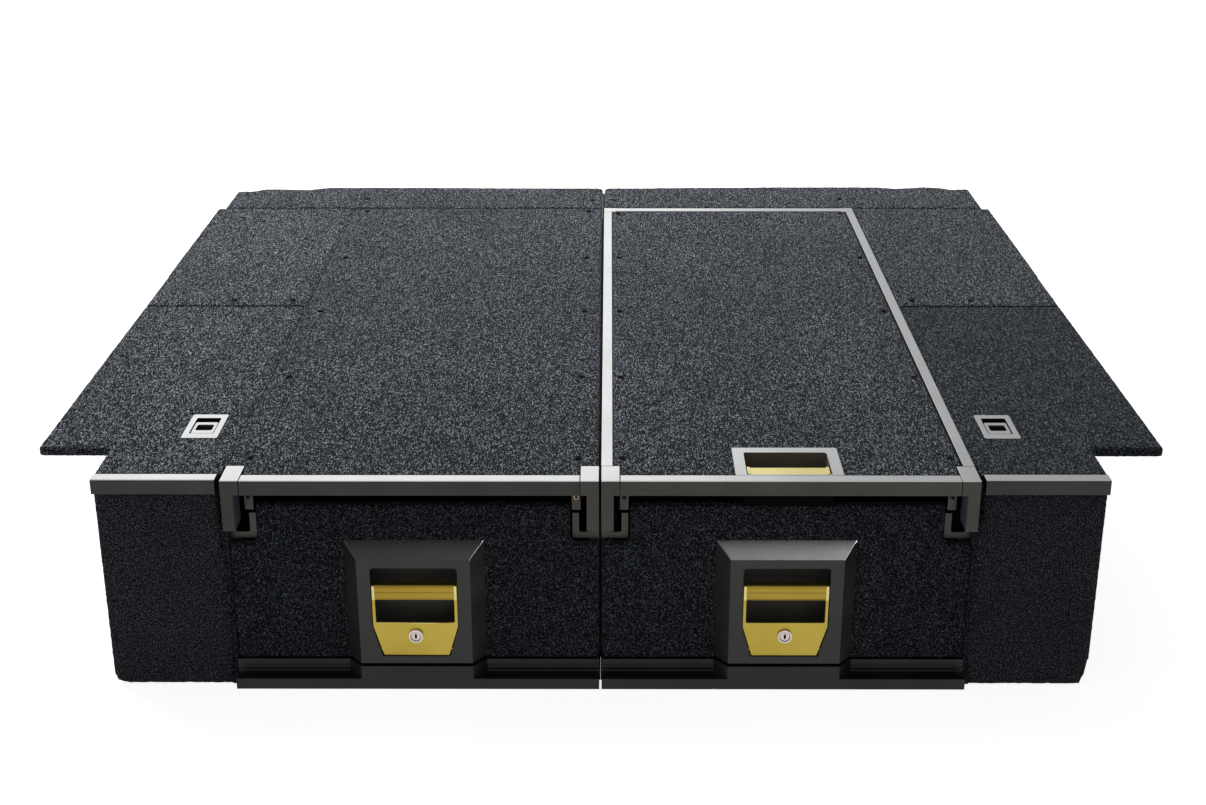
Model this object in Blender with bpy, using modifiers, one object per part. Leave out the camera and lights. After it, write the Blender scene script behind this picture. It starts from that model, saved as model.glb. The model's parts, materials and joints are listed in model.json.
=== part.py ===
"""Tool box and drawer system for the tub of a utility vehicle.

Two long drawer modules stand side by side. The left one has a fixed deck and the right one a deck that
slides out as a table. Carpeted wings with lift-up lids fill the sides, and two strips fill the back.
X runs across the tub, Y back from the drawer fronts and Z up from the tub floor, in metres. The origin is
on the floor at the middle of the whole outline. Depths are measured back from the plane of the front trims.
"""

import math

import bmesh
import bpy
from mathutils import Vector

# Driving dimensions
MODULE_WIDTH = 0.4985
MODULE_DEPTH = 1.338
HEIGHT = 0.313
MODULE_GAP = 0.003
WING_WIDTH = 0.2665
WING_FRONT_WIDTH = 0.167
WING_SPLAY = 0.0055
WING_STEP = 0.112
LID_SEAM = 0.7228
INFILL_DEPTH = 0.169

# Boards, gaps and the small overlaps that cutting and joining need
BOARD = 0.015
FLOOR_BOARD = 0.012
CLEAR = 0.0003
REAR_SEAM = 0.003
WING_GAP = 0.004
OVERRUN = 0.002
EMBED = 0.001
WELD = 0.00001

TOTAL_DEPTH = MODULE_DEPTH + REAR_SEAM + INFILL_DEPTH
FRONT_PLANE = -TOTAL_DEPTH / 2
MODULE_SIDE = MODULE_GAP / 2 + MODULE_WIDTH
DECK_BOTTOM = HEIGHT - BOARD
BACK_FACE = MODULE_DEPTH - BOARD

# Front trims and corner caps
TRIM_DEPTH = 0.0205
TRIM_HEIGHT = 0.021
TRIM_ROUND = 0.0025
TRIM_GAP = 0.0007
CAP_WIDTH = 0.0245
CAP_DEPTH = 0.0505
CAP_LEG_WIDTH = 0.0164
CAP_LEG_DROP = 0.073

# Channel rails that carry the decks
RAIL_FRONT = 0.040
RAIL_WIDTH = 0.0365
RAIL_DROP = 0.102
RAIL_FOOT = 0.0095
RAIL_WALL = 0.008
RAIL_LIP = 0.0095
RAIL_LIP_HEIGHT = 0.038
RAIL_FILLET = 0.003
RAIL_BOTTOM = HEIGHT - RAIL_DROP
RAIL_TOP = DECK_BOTTOM - CLEAR
RAIL_FOOT_TOP = RAIL_BOTTOM + RAIL_FOOT

# Table runners, which hang in the channel rails
RUNNER_FRONT = 0.030
RUNNER_BAR_WIDTH = 0.012
RUNNER_BAR_DROP = 0.055
RUNNER_BACK_GAP = 0.023
TONGUE_GAP = 0.0005

# Table edging
EDGE_WIDTH = 0.015
EDGE_REAR = 0.0192

# Table handle in its recessed pocket
DECK_POCKET_WIDTH = 0.113
DECK_POCKET_BACK = 0.0967
DECK_POCKET_DEPTH = 0.045
DECK_POCKET_WALL = 0.003
DECK_BEZEL_WIDTH = 0.1435
DECK_BEZEL_BACK = 0.113
DECK_BEZEL_CORNER = 0.004
BEZEL_FLANGE = 0.002
TABLE_GRIP_WIDTH = 0.110
TABLE_GRIP_BACK = 0.053
TABLE_GRIP_ROUND = 0.006
TABLE_GRIP_EDGE = 0.0065
TABLE_GRIP_SINK = 0.003
TABLE_GRIP_PIVOT = 0.0305
TABLE_GRIP_BOSS = 0.004
TABLE_GRIP_CORNER = 0.0015

# Rod that latches the table to its outer channel rail
ROD_RADIUS = 0.004
ROD_DEPTH = 0.075
ROD_DROP = 0.033
ROD_REACH = 0.004

# Sill strips and the block in the middle of each
SILL_LIP = 0.003
SILL_LIP_HEIGHT = 0.016
SILL_CHANNEL = 0.008
SILL_RISER_FACE = 0.021
SILL_RISER = 0.0035
SILL_RIB = 0.0009
SILL_RIB_HEIGHT = 0.0172
SILL_RIB_STEP = 0.0062
BLOCK_HEIGHT = 0.0355
RISER_TOP = BLOCK_HEIGHT - CLEAR
FLOOR_FRONT = SILL_RISER_FACE + SILL_RISER + CLEAR

# Drawer fronts
DRAWER_FACE = 0.026
DRAWER_SILL_GAP = 0.0005
DRAWER_HEAD_GAP = 0.001
DRAWER_NOTCH_GAP = 0.002
DRAWER_BOTTOM = BLOCK_HEIGHT + DRAWER_SILL_GAP
DRAWER_TOP = HEIGHT - DECK_POCKET_DEPTH - DRAWER_HEAD_GAP
DRAWER_BACK = DRAWER_FACE + BOARD

# Drawer trays and the angle rails they run on
TRAY_WALL = 0.012
TRAY_BASE = 0.009
TRAY_LIFT = 0.0025
TRAY_HEADROOM = 0.006
TRAY_BACK_GAP = 0.033
ANGLE_LEAF = 0.003
ANGLE_HEIGHT = 0.048
ANGLE_TREAD = 0.0035
ANGLE_TREAD_WIDTH = 0.037
ANGLE_END_GAP = 0.0035
TRAY_BOTTOM = DRAWER_BOTTOM + TRAY_LIFT
TRAY_TOP = RAIL_BOTTOM - TRAY_HEADROOM
TRAY_INSET = BOARD + ANGLE_LEAF + 2 * CLEAR

# Handle housings
HOUSING_WIDTH = 0.1888
HOUSING_HEIGHT = 0.176
HOUSING_FRONT = 0.003
HOUSING_LIFT = 0.003
HOUSING_SLOPE = 0.01815
HOUSING_FACE_PLATE = 0.003
CAVITY_WIDTH = 0.121
CAVITY_LIFT = 0.008
CAVITY_HEIGHT = 0.139
CAVITY_WALL = 0.0025
POCKET_SETBACK = 0.001
WINDOW_DROP = 0.002
WINDOW_CORNER = 0.0027
HOUSING_BOTTOM = DRAWER_BOTTOM + HOUSING_LIFT
CAVITY_BOTTOM = HOUSING_BOTTOM + CAVITY_LIFT
CAVITY_TOP = CAVITY_BOTTOM + CAVITY_HEIGHT
POCKET_BACK = DRAWER_BACK - POCKET_SETBACK

# Drawer handles
HANDLE_WIDTH = 0.115
HANDLE_FOOT_WIDTH = 0.090
HANDLE_LIFT = 0.0116
HANDLE_TAPER = 0.0444
HANDLE_PLATE_HEIGHT = 0.0499
HANDLE_OPENING = 0.0351
HANDLE_BAR_HEIGHT = 0.0216
HANDLE_BAR_FRONT = 0.0045
HANDLE_BAR_DEPTH = 0.016
HANDLE_BAR_ROUND = 0.003
HANDLE_PLATE_FRONT = 0.005
HANDLE_PLATE = 0.004
HANDLE_ARM = 0.004
HANDLE_GAP = 0.001
HANDLE_CORNER = 0.002
PIVOT_RISE = 0.0069
PIVOT_DEPTH = 0.011
PIVOT_RADIUS = 0.0025
HANDLE_BOTTOM = HOUSING_BOTTOM + HANDLE_LIFT
HANDLE_PLATE_TOP = HANDLE_BOTTOM + HANDLE_PLATE_HEIGHT
HANDLE_BAR_BOTTOM = HANDLE_PLATE_TOP + HANDLE_OPENING
HANDLE_TOP = HANDLE_BAR_BOTTOM + HANDLE_BAR_HEIGHT

# Key locks, which turn in the handle plates
LOCK_RISE = 0.0304
LOCK_RADIUS = 0.0097
LOCK_FLANGE = 0.0025
LOCK_BARREL_RADIUS = 0.008
LOCK_BARREL_BACK = 0.026
KEY_SLOT_WIDTH = 0.0014
KEY_SLOT_HEIGHT = 0.008
KEY_SLOT_DEPTH = 0.0015

# Drawer latch bolts
BOLT_RADIUS = 0.004
BOLT_DEPTH = 0.019
BOLT_HEIGHT = 0.0142

# Wings
WING_TRIM_FRONT = 0.0036
WING_TRIM_DEPTH = 0.020
WING_TRIM_INSET = 0.003
WING_PANEL_FACE = 0.013
WING_CORNER = 0.015
WING_CURVE_RISE = 0.047
WING_CURVE_REACH = 0.0095
LID_FRONT_GAP = 0.0008
CLEAT_WIDTH = 0.0217
CLEAT_THICKNESS = 0.015
CLEAT_HEIGHT = 0.030
LID_SEAT_HEIGHT = 0.0357
LID_SEAT_END = 0.012
INFILL_INSET = 0.0125
INFILL_SWING = 0.035
INFILL_CHAMFER = 0.008
INFILL_CLEAT_END = 0.0185
INFILL_CLEAT_DEPTH = 0.020

# Ring pulls in the lids
PULL_ACROSS = 0.054
PULL_FRONT = 0.146
BEZEL_WIDTH = 0.0505
BEZEL_LENGTH = 0.0863
BEZEL_CORNER = 0.003
CUP_WIDTH = 0.0345
CUP_FRONT = 0.0162
CUP_LENGTH = 0.0570
CUP_CORNER = 0.002
CUP_WALL = 0.002
CUP_DEPTH = 0.011
CUP_BASE = 0.002
RING_WIDTH = 0.0314
RING_FRONT = 0.0195
RING_LENGTH = 0.0400
RING_THICKNESS = 0.004
RING_SINK = 0.001
RING_SIDE = 0.004
RING_FRONT_BAR = 0.0105
RING_BACK_BAR = 0.0086
RING_CORNER = 0.003
RING_PIVOT = 0.0034
RING_PIN_RADIUS = 0.0015

# Back edges of the rear strips, from their outer ends to the middle: shares of the way out and of the swing
REAR_EDGE_SHARES = {
    "left": ((1.0, 1.0), (0.955, 1.0), (0.930, 0.49), (0.805, 0.63), (0.755, 0.17), (0.510, 0.17), (0.0, 0.29)),
    "right": ((1.0, 0.44), (0.952, 0.60), (0.924, 0.14), (0.881, 0.01), (0.801, 0.34), (0.746, 0.0),
              (0.543, 0.0), (0.0, 0.29))}

# Counts of the flat steps that make round shapes
CORNER_STEPS = 4
CURVE_STEPS = 6
ROUND_SIDES = 24

# Which way each side and each edge lies along X
SIDES = {"left": -1, "right": 1}

# Finishes: colour, roughness and how metallic
CARPET = ((0.022, 0.025, 0.031, 1.0), 0.95, 0.0)
BARE_BOARD = ((0.11, 0.09, 0.07, 1.0), 0.80, 0.0)
BRIGHT_TRIM = ((0.38, 0.39, 0.41, 1.0), 0.35, 1.0)
DARK_TRIM = ((0.045, 0.043, 0.040, 1.0), 0.40, 0.8)
MOULDED = ((0.030, 0.030, 0.028, 1.0), 0.50, 0.0)
SILL_METAL = ((0.018, 0.018, 0.020, 1.0), 0.45, 0.6)
GOLD = ((0.46, 0.35, 0.08, 1.0), 0.35, 0.9)
NICKEL = ((0.60, 0.58, 0.54, 1.0), 0.25, 1.0)
STEEL = ((0.40, 0.40, 0.41, 1.0), 0.35, 1.0)


def clear_scene():
    for item in list(bpy.data.objects):
        bpy.data.objects.remove(item, do_unlink=True)


def new_collection(name):
    collection = bpy.data.collections.new(name)
    bpy.context.scene.collection.children.link(collection)
    return collection


clear_scene()
PARTS = new_collection("tool_box_and_drawer_system")
CUTTERS = new_collection("cutters")


# Helpers for places

def module_centre(side):
    return SIDES[side] * (MODULE_SIDE - MODULE_WIDTH / 2)


def inset(side, edge, distance):
    """X of a point this far in from the left or right edge of a module."""
    return module_centre(side) + SIDES[edge] * (MODULE_WIDTH / 2 - distance)


def outward(side, distance):
    """X of a point this far out from the module's outer side."""
    return SIDES[side] * (MODULE_SIDE + distance)


def is_outer(side, edge):
    return side == edge


def edge_name(side, edge):
    return "outer" if is_outer(side, edge) else "inner"


# Helpers for shapes

def move_to(piece, collection):
    for owner in list(piece.users_collection):
        owner.objects.unlink(piece)
    collection.objects.link(piece)


def finished(piece, name, finish):
    """The piece as a named part with a material of its own."""
    colour, roughness, metallic = finish
    piece.name = name
    piece.data.name = name
    move_to(piece, PARTS)
    material = bpy.data.materials.new(name)
    material.use_nodes = True
    shader = material.node_tree.nodes["Principled BSDF"]
    shader.inputs["Base Color"].default_value = colour
    shader.inputs["Roughness"].default_value = roughness
    shader.inputs["Metallic"].default_value = metallic
    piece.data.materials.clear()
    piece.data.materials.append(material)
    return piece


def box(across, along, up):
    """A box between two values on each axis."""
    low = Vector((min(across), FRONT_PLANE + min(along), min(up)))
    high = Vector((max(across), FRONT_PLANE + max(along), max(up)))
    bpy.ops.mesh.primitive_cube_add(size=1, location=(low + high) / 2)
    piece = bpy.context.object
    piece.scale = high - low
    bpy.ops.object.transform_apply(location=False, rotation=False, scale=True)
    return piece


def rod(axis, middle, radius, length):
    """A cylinder along X, Y or Z about a middle point."""
    turns = {"X": (0, math.pi / 2, 0), "Y": (math.pi / 2, 0, 0), "Z": (0, 0, 0)}
    across, along, up = middle
    bpy.ops.mesh.primitive_cylinder_add(
        vertices=ROUND_SIDES, radius=radius, depth=length,
        location=(across, FRONT_PLANE + along, up), rotation=turns[axis])
    piece = bpy.context.object
    piece.data.shade_smooth()
    piece.data.set_sharp_from_angle(angle=math.pi / 4)
    return piece


def outline(*corners):
    """Points of a closed outline. A corner with a third value is rounded to that radius."""
    points = []
    for index, corner in enumerate(corners):
        here = Vector(corner[:2])
        if len(corner) == 2:
            points.append(here)
            continue
        before = (Vector(corners[index - 1][:2]) - here).normalized()
        after = (Vector(corners[(index + 1) % len(corners)][:2]) - here).normalized()
        half_angle = before.angle(after) / 2
        centre = here + (before + after).normalized() * corner[2] / math.sin(half_angle)
        start = here + before * corner[2] / math.tan(half_angle) - centre
        end = here + after * corner[2] / math.tan(half_angle) - centre
        for step in range(CORNER_STEPS + 1):
            points.append(centre + start.slerp(end, step / CORNER_STEPS).normalized() * corner[2])
    return points


def rectangle(first, second, radius=0):
    """Outline between two values on each of its axes, with corners rounded to a radius."""
    corners = [(first[0], second[0]), (first[1], second[0]), (first[1], second[1]), (first[0], second[1])]
    if radius:
        corners = [corner + (radius,) for corner in corners]
    return outline(*corners)


def as_mesh(guide):
    """The mesh of a curve, welded, in the curve's place."""
    bpy.context.view_layer.update()
    evaluated = guide.evaluated_get(bpy.context.evaluated_depsgraph_get())
    mesh = bpy.data.meshes.new_from_object(evaluated)
    faces = bmesh.new()
    faces.from_mesh(mesh)
    bmesh.ops.remove_doubles(faces, verts=faces.verts, dist=WELD)
    bmesh.ops.recalc_face_normals(faces, faces=faces.faces)
    faces.to_mesh(mesh)
    faces.free()
    piece = bpy.data.objects.new("prism", mesh)
    PARTS.objects.link(piece)
    piece.matrix_world = guide.matrix_world
    bpy.data.objects.remove(guide)
    return piece


def prism(outlines, plane, start, end):
    """A flat outline, with any holes, drawn in one plane and thickened square to it."""
    middle = (start + end) / 2
    places = {"XY": (0, FRONT_PLANE, middle), "XZ": (0, FRONT_PLANE + middle, 0), "YZ": (middle, FRONT_PLANE, 0)}
    turns = {"XY": (0, 0, 0), "XZ": (math.pi / 2, 0, 0), "YZ": (math.pi / 2, 0, math.pi / 2)}
    curve = bpy.data.curves.new("outline", "CURVE")
    curve.dimensions = "2D"
    curve.fill_mode = "BOTH"
    curve.extrude = abs(end - start) / 2
    for points in outlines:
        spline = curve.splines.new("POLY")
        spline.points.add(len(points) - 1)
        for target, (first, second) in zip(spline.points, points):
            target.co = (first, second, 0, 1)
        spline.use_cyclic_u = True
    guide = bpy.data.objects.new("outline", curve)
    guide.location = places[plane]
    guide.rotation_euler = turns[plane]
    PARTS.objects.link(guide)
    return as_mesh(guide)


def combine(piece, other, operation):
    """Cut or join one piece with another, which stays as a hidden guide carried by the piece."""
    move_to(other, CUTTERS)
    other.hide_render = True
    other.display_type = "WIRE"
    bpy.context.view_layer.update()
    other.parent = piece
    other.matrix_parent_inverse = piece.matrix_world.inverted()
    modifier = piece.modifiers.new(operation.lower(), "BOOLEAN")
    modifier.operation = operation
    modifier.solver = "EXACT"
    modifier.object = other


def cut(piece, *cutters):
    for cutter in cutters:
        combine(piece, cutter, "DIFFERENCE")
    return piece


def join(piece, *others):
    for other in others:
        combine(piece, other, "UNION")
    return piece


def carried(name, place, pieces):
    """An empty on a joint's axis that carries the pieces of one moving body."""
    across, along, up = place
    pivot = bpy.data.objects.new(name, None)
    pivot.location = (across, FRONT_PLANE + along, up)
    PARTS.objects.link(pivot)
    bpy.context.view_layer.update()
    for piece in pieces:
        piece.parent = pivot
        piece.matrix_parent_inverse = pivot.matrix_world.inverted()
    return pivot


# Drawer module carcass

def floor_panel(side):
    """Base board, which meets the other module's base board under the seam between the modules."""
    across = (SIDES[side] * CLEAR / 2, outward(side, 0))
    piece = box(across, (FLOOR_FRONT, MODULE_DEPTH), (0, FLOOR_BOARD))
    return finished(piece, f"floor_{side}", CARPET)


def back_panel(side):
    across = (inset(side, "left", 0), inset(side, "right", 0))
    piece = box(across, (BACK_FACE, MODULE_DEPTH), (FLOOR_BOARD + CLEAR, RAIL_TOP))
    return finished(piece, f"back_panel_{side}", CARPET)


def side_wall(side, edge):
    across = (inset(side, edge, 0), inset(side, edge, BOARD))
    along = (DRAWER_BACK + CLEAR, BACK_FACE - CLEAR)
    piece = box(across, along, (FLOOR_BOARD + CLEAR, RAIL_BOTTOM - CLEAR))
    return finished(piece, f"side_wall_{side}_{edge_name(side, edge)}", CARPET)


def channel_rail(side, edge):
    """Channel whose tall wall carries the deck's edge and whose low lip faces the drawer."""
    def at(distance, up, *radius):
        return (inset(side, edge, distance), up, *radius)
    section = outline(
        at(0, RAIL_BOTTOM),
        at(RAIL_WIDTH, RAIL_BOTTOM),
        at(RAIL_WIDTH, RAIL_BOTTOM + RAIL_LIP_HEIGHT),
        at(RAIL_WIDTH - RAIL_LIP, RAIL_BOTTOM + RAIL_LIP_HEIGHT),
        at(RAIL_WIDTH - RAIL_LIP, RAIL_FOOT_TOP, RAIL_FILLET),
        at(RAIL_WALL, RAIL_FOOT_TOP, RAIL_FILLET),
        at(RAIL_WALL, RAIL_TOP),
        at(0, RAIL_TOP))
    piece = prism([section], "XZ", RAIL_FRONT, BACK_FACE - CLEAR)
    return finished(piece, f"channel_rail_{side}_{edge_name(side, edge)}", DARK_TRIM)


def angle_rail(side, edge):
    """Rail that stands on the floor against a side wall, with a tread under the drawer tray."""
    wall = BOARD + CLEAR
    leaf = wall + ANGLE_LEAF
    tread_top = TRAY_BOTTOM - CLEAR
    foot = FLOOR_BOARD + CLEAR
    def at(distance, up):
        return (inset(side, edge, distance), up)
    section = outline(
        at(wall, foot),
        at(leaf, foot),
        at(leaf, tread_top - ANGLE_TREAD),
        at(leaf + ANGLE_TREAD_WIDTH, tread_top - ANGLE_TREAD),
        at(leaf + ANGLE_TREAD_WIDTH, tread_top),
        at(leaf, tread_top),
        at(leaf, foot + ANGLE_HEIGHT),
        at(wall, foot + ANGLE_HEIGHT))
    piece = prism([section], "XZ", DRAWER_BACK + ANGLE_END_GAP, BACK_FACE - ANGLE_END_GAP)
    return finished(piece, f"drawer_rail_{side}_{edge_name(side, edge)}", STEEL)


def sill_rib(up):
    """Half-round rib on the riser's face, top to bottom."""
    turns = [math.pi * step / CORNER_STEPS for step in range(CORNER_STEPS + 1)]
    return [(SILL_RISER_FACE - SILL_RIB * math.sin(turn), up + SILL_RIB * math.cos(turn)) for turn in turns]


def sill(side):
    """Threshold channel under a drawer front, open in the middle of its front for the block."""
    back = SILL_RISER_FACE + SILL_RISER
    section = outline(
        (0, 0), (back, 0), (back, RISER_TOP), (SILL_RISER_FACE, RISER_TOP),
        *sill_rib(SILL_RIB_HEIGHT + SILL_RIB_STEP), *sill_rib(SILL_RIB_HEIGHT),
        (SILL_RISER_FACE, SILL_CHANNEL), (SILL_LIP, SILL_CHANNEL), (SILL_LIP, SILL_LIP_HEIGHT),
        (0, SILL_LIP_HEIGHT))
    piece = prism([section], "YZ", inset(side, "left", 0), inset(side, "right", 0))
    half = HOUSING_WIDTH / 2 + CLEAR
    middle = module_centre(side)
    cut(piece, box((middle - half, middle + half), (-OVERRUN, SILL_RISER_FACE + CLEAR),
                   (-OVERRUN, BLOCK_HEIGHT + OVERRUN)))
    return finished(piece, f"sill_{side}", SILL_METAL)


def sill_block(side):
    """Block below the handle housing, as wide as the housing, with its upper front corners sloped."""
    middle = module_centre(side)
    half = HOUSING_WIDTH / 2
    piece = box((middle - half, middle + half), (0, SILL_RISER_FACE), (0, BLOCK_HEIGHT))
    slope = TRIM_DEPTH / HOUSING_SLOPE
    for turn in SIDES.values():
        start = half - HOUSING_SLOPE - OVERRUN
        end = half + OVERRUN
        wedge = [
            (middle + turn * start, -OVERRUN * slope),
            (middle + turn * end, -OVERRUN * slope),
            (middle + turn * end, TRIM_DEPTH + OVERRUN * slope)]
        cut(piece, prism([wedge], "XY", SILL_LIP_HEIGHT, BLOCK_HEIGHT + OVERRUN))
    return finished(piece, f"sill_block_{side}", SILL_METAL)


# Decks, their trims and caps

def front_trim(side, name):
    end = CAP_WIDTH + TRIM_GAP
    low = HEIGHT - TRIM_HEIGHT
    section = outline((0, low), (TRIM_DEPTH, low), (TRIM_DEPTH, HEIGHT), (0, HEIGHT, TRIM_ROUND))
    piece = prism([section], "YZ", inset(side, "left", end), inset(side, "right", end))
    return finished(piece, name, DARK_TRIM)


def corner_cap(side, edge, name):
    """Cap on a deck's front corner: a top plate, a skirt as tall as the trim, and a leg."""
    foot = HEIGHT - CAP_LEG_DROP
    leg_back = RAIL_FRONT - CLEAR
    section = outline((0, foot), (CAP_DEPTH, foot), (CAP_DEPTH, HEIGHT), (0, HEIGHT, TRIM_ROUND))
    piece = prism([section], "YZ", inset(side, edge, 0), inset(side, edge, CAP_WIDTH))
    whole = (inset(side, edge, -OVERRUN), inset(side, edge, CAP_WIDTH + OVERRUN))
    beside_leg = (inset(side, edge, CAP_LEG_WIDTH), inset(side, edge, CAP_WIDTH + OVERRUN))
    cut(piece,
        box(beside_leg, (-OVERRUN, CAP_DEPTH + OVERRUN), (foot - OVERRUN, HEIGHT - TRIM_HEIGHT)),
        box(beside_leg, (TRIM_DEPTH, CAP_DEPTH + OVERRUN), (foot - OVERRUN, DECK_BOTTOM)),
        box(whole, (leg_back, CAP_DEPTH + OVERRUN), (foot - OVERRUN, DECK_BOTTOM)))
    return finished(piece, name, BRIGHT_TRIM)


def deck_outline(side, edge_inset, back, *opening):
    """Deck in plan, notched at its front corners for the caps, with any opening in its front edge."""
    front = TRIM_DEPTH + CLEAR
    notch = CAP_WIDTH + CLEAR
    notch_back = CAP_DEPTH + CLEAR
    left = [(inset(side, "left", distance), along) for distance, along in (
        (edge_inset, back), (edge_inset, notch_back), (notch, notch_back), (notch, front))]
    right = [(inset(side, "right", distance), along) for distance, along in (
        (notch, front), (notch, notch_back), (edge_inset, notch_back), (edge_inset, back))]
    return outline(*left, *opening, *right)


def fixed_deck():
    piece = prism([deck_outline("left", 0, MODULE_DEPTH)], "XY", DECK_BOTTOM, HEIGHT)
    return finished(piece, "fixed_deck", CARPET)


def table_deck():
    """Sliding deck, notched at its front for the handle pocket and rebated for the pocket's bezel."""
    middle = module_centre("right")
    front = TRIM_DEPTH + CLEAR
    half = DECK_POCKET_WIDTH / 2 + DECK_POCKET_WALL + CLEAR
    opening_back = DECK_POCKET_BACK + DECK_POCKET_WALL + CLEAR
    opening = [(middle - half, front), (middle - half, opening_back),
               (middle + half, opening_back), (middle + half, front)]
    plan = deck_outline("right", EDGE_WIDTH + CLEAR, MODULE_DEPTH - EDGE_REAR - CLEAR, *opening)
    piece = prism([plan], "XY", DECK_BOTTOM, HEIGHT)
    rebate = DECK_BEZEL_WIDTH / 2 + CLEAR
    cut(piece, box((middle - rebate, middle + rebate), (front - OVERRUN, DECK_BEZEL_BACK + CLEAR),
                   (HEIGHT - BEZEL_FLANGE - CLEAR, HEIGHT + OVERRUN)))
    return finished(piece, "table_deck", CARPET)


def table_edging():
    """Metal edging along the table's sides and back, in one piece."""
    front = CAP_DEPTH + CLEAR
    rear = MODULE_DEPTH - EDGE_REAR
    def at(edge, distance, along):
        return (inset("right", edge, distance), along)
    plan = outline(
        at("left", 0, front), at("left", EDGE_WIDTH, front), at("left", EDGE_WIDTH, rear),
        at("right", EDGE_WIDTH, rear), at("right", EDGE_WIDTH, front), at("right", 0, front),
        at("right", 0, MODULE_DEPTH), at("left", 0, MODULE_DEPTH))
    return finished(prism([plan], "XY", DECK_BOTTOM, HEIGHT), "table_edging", BRIGHT_TRIM)


def table_runner(edge):
    """Bar under the table's edge with a tongue that runs in the channel rail."""
    outer = RAIL_WALL + RAIL_FILLET + TONGUE_GAP
    inner = RAIL_WIDTH - RAIL_LIP - RAIL_FILLET - TONGUE_GAP
    tongue_bottom = RAIL_FOOT_TOP + CLEAR
    bar_bottom = HEIGHT - RUNNER_BAR_DROP
    def at(distance, up):
        return (inset("right", edge, distance), up)
    section = outline(
        at(outer, tongue_bottom), at(inner, tongue_bottom), at(inner, bar_bottom),
        at(RAIL_WIDTH, bar_bottom), at(RAIL_WIDTH, RAIL_TOP), at(outer, RAIL_TOP))
    piece = prism([section], "XZ", RUNNER_FRONT, BACK_FACE - RUNNER_BACK_GAP)
    beside_bar = (inset("right", edge, outer - OVERRUN), inset("right", edge, RAIL_WIDTH - RUNNER_BAR_WIDTH))
    cut(piece, box(beside_bar, (RUNNER_FRONT - OVERRUN, CAP_DEPTH + CLEAR),
                   (tongue_bottom - OVERRUN, RAIL_TOP + OVERRUN)))
    if is_outer("right", edge):
        middle = (inset("right", edge, (outer + RAIL_WIDTH) / 2), ROD_DEPTH, HEIGHT - ROD_DROP)
        cut(piece, rod("X", middle, ROD_RADIUS + CLEAR, RAIL_WIDTH - outer + 2 * OVERRUN))
    return finished(piece, f"table_runner_{edge_name('right', edge)}", DARK_TRIM)


def table_handle_pocket():
    """Open cup under a bezel that lies flush in the table's top, with a side hole for the latch rod."""
    middle = module_centre("right")
    inner = DECK_POCKET_WIDTH / 2
    outer = inner + DECK_POCKET_WALL
    flange = DECK_BEZEL_WIDTH / 2
    front = TRIM_DEPTH + CLEAR
    bottom = HEIGHT - DECK_POCKET_DEPTH
    plan = outline(
        (middle - flange, front), (middle + flange, front),
        (middle + flange, DECK_BEZEL_BACK, DECK_BEZEL_CORNER),
        (middle - flange, DECK_BEZEL_BACK, DECK_BEZEL_CORNER))
    piece = prism([plan], "XY", HEIGHT - BEZEL_FLANGE, HEIGHT)
    join(piece, box((middle - outer, middle + outer), (front, DECK_POCKET_BACK + DECK_POCKET_WALL),
                    (bottom, HEIGHT - BEZEL_FLANGE / 2)))
    cut(piece, box((middle - inner, middle + inner), (front + DECK_POCKET_WALL, DECK_POCKET_BACK),
                   (bottom + DECK_POCKET_WALL, HEIGHT + OVERRUN)))
    hole_middle = (middle + (inner + outer) / 2, ROD_DEPTH, HEIGHT - ROD_DROP)
    cut(piece, rod("X", hole_middle, ROD_RADIUS + CLEAR, DECK_POCKET_WALL + 2 * OVERRUN))
    return finished(piece, "table_handle_pocket", BRIGHT_TRIM)


def table_handle():
    """Grip with a round front edge about its pivot and a boss at each end that meets the pocket."""
    middle = module_centre("right")
    half = TABLE_GRIP_WIDTH / 2
    top = HEIGHT - TABLE_GRIP_SINK
    axis_up = top - TABLE_GRIP_ROUND
    front = TABLE_GRIP_PIVOT - TABLE_GRIP_ROUND
    section = outline(
        (front, top, TABLE_GRIP_ROUND),
        (front, top - 2 * TABLE_GRIP_ROUND, TABLE_GRIP_ROUND),
        (TABLE_GRIP_PIVOT, top - 2 * TABLE_GRIP_ROUND),
        (TABLE_GRIP_BACK, top - TABLE_GRIP_EDGE, TABLE_GRIP_CORNER),
        (TABLE_GRIP_BACK, top, TABLE_GRIP_CORNER))
    piece = prism([section], "YZ", middle - half, middle + half)
    length = DECK_POCKET_WIDTH - 2 * CLEAR
    join(piece, rod("X", (middle, TABLE_GRIP_PIVOT, axis_up), TABLE_GRIP_BOSS, length))
    finished(piece, "table_handle", GOLD)
    return carried("table_handle_axis", (middle, TABLE_GRIP_PIVOT, axis_up), [piece])


def table_latch_rod():
    """Rod from inside the handle pocket, through its wall and the runner, towards the channel rail."""
    start = module_centre("right") + DECK_POCKET_WIDTH / 2 - ROD_REACH
    end = inset("right", "right", RAIL_WALL + CLEAR)
    middle = ((start + end) / 2, ROD_DEPTH, HEIGHT - ROD_DROP)
    piece = finished(rod("X", middle, ROD_RADIUS, end - start), "table_latch_rod", STEEL)
    return carried("table_latch_axis", middle, [piece])


# Drawers

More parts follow.
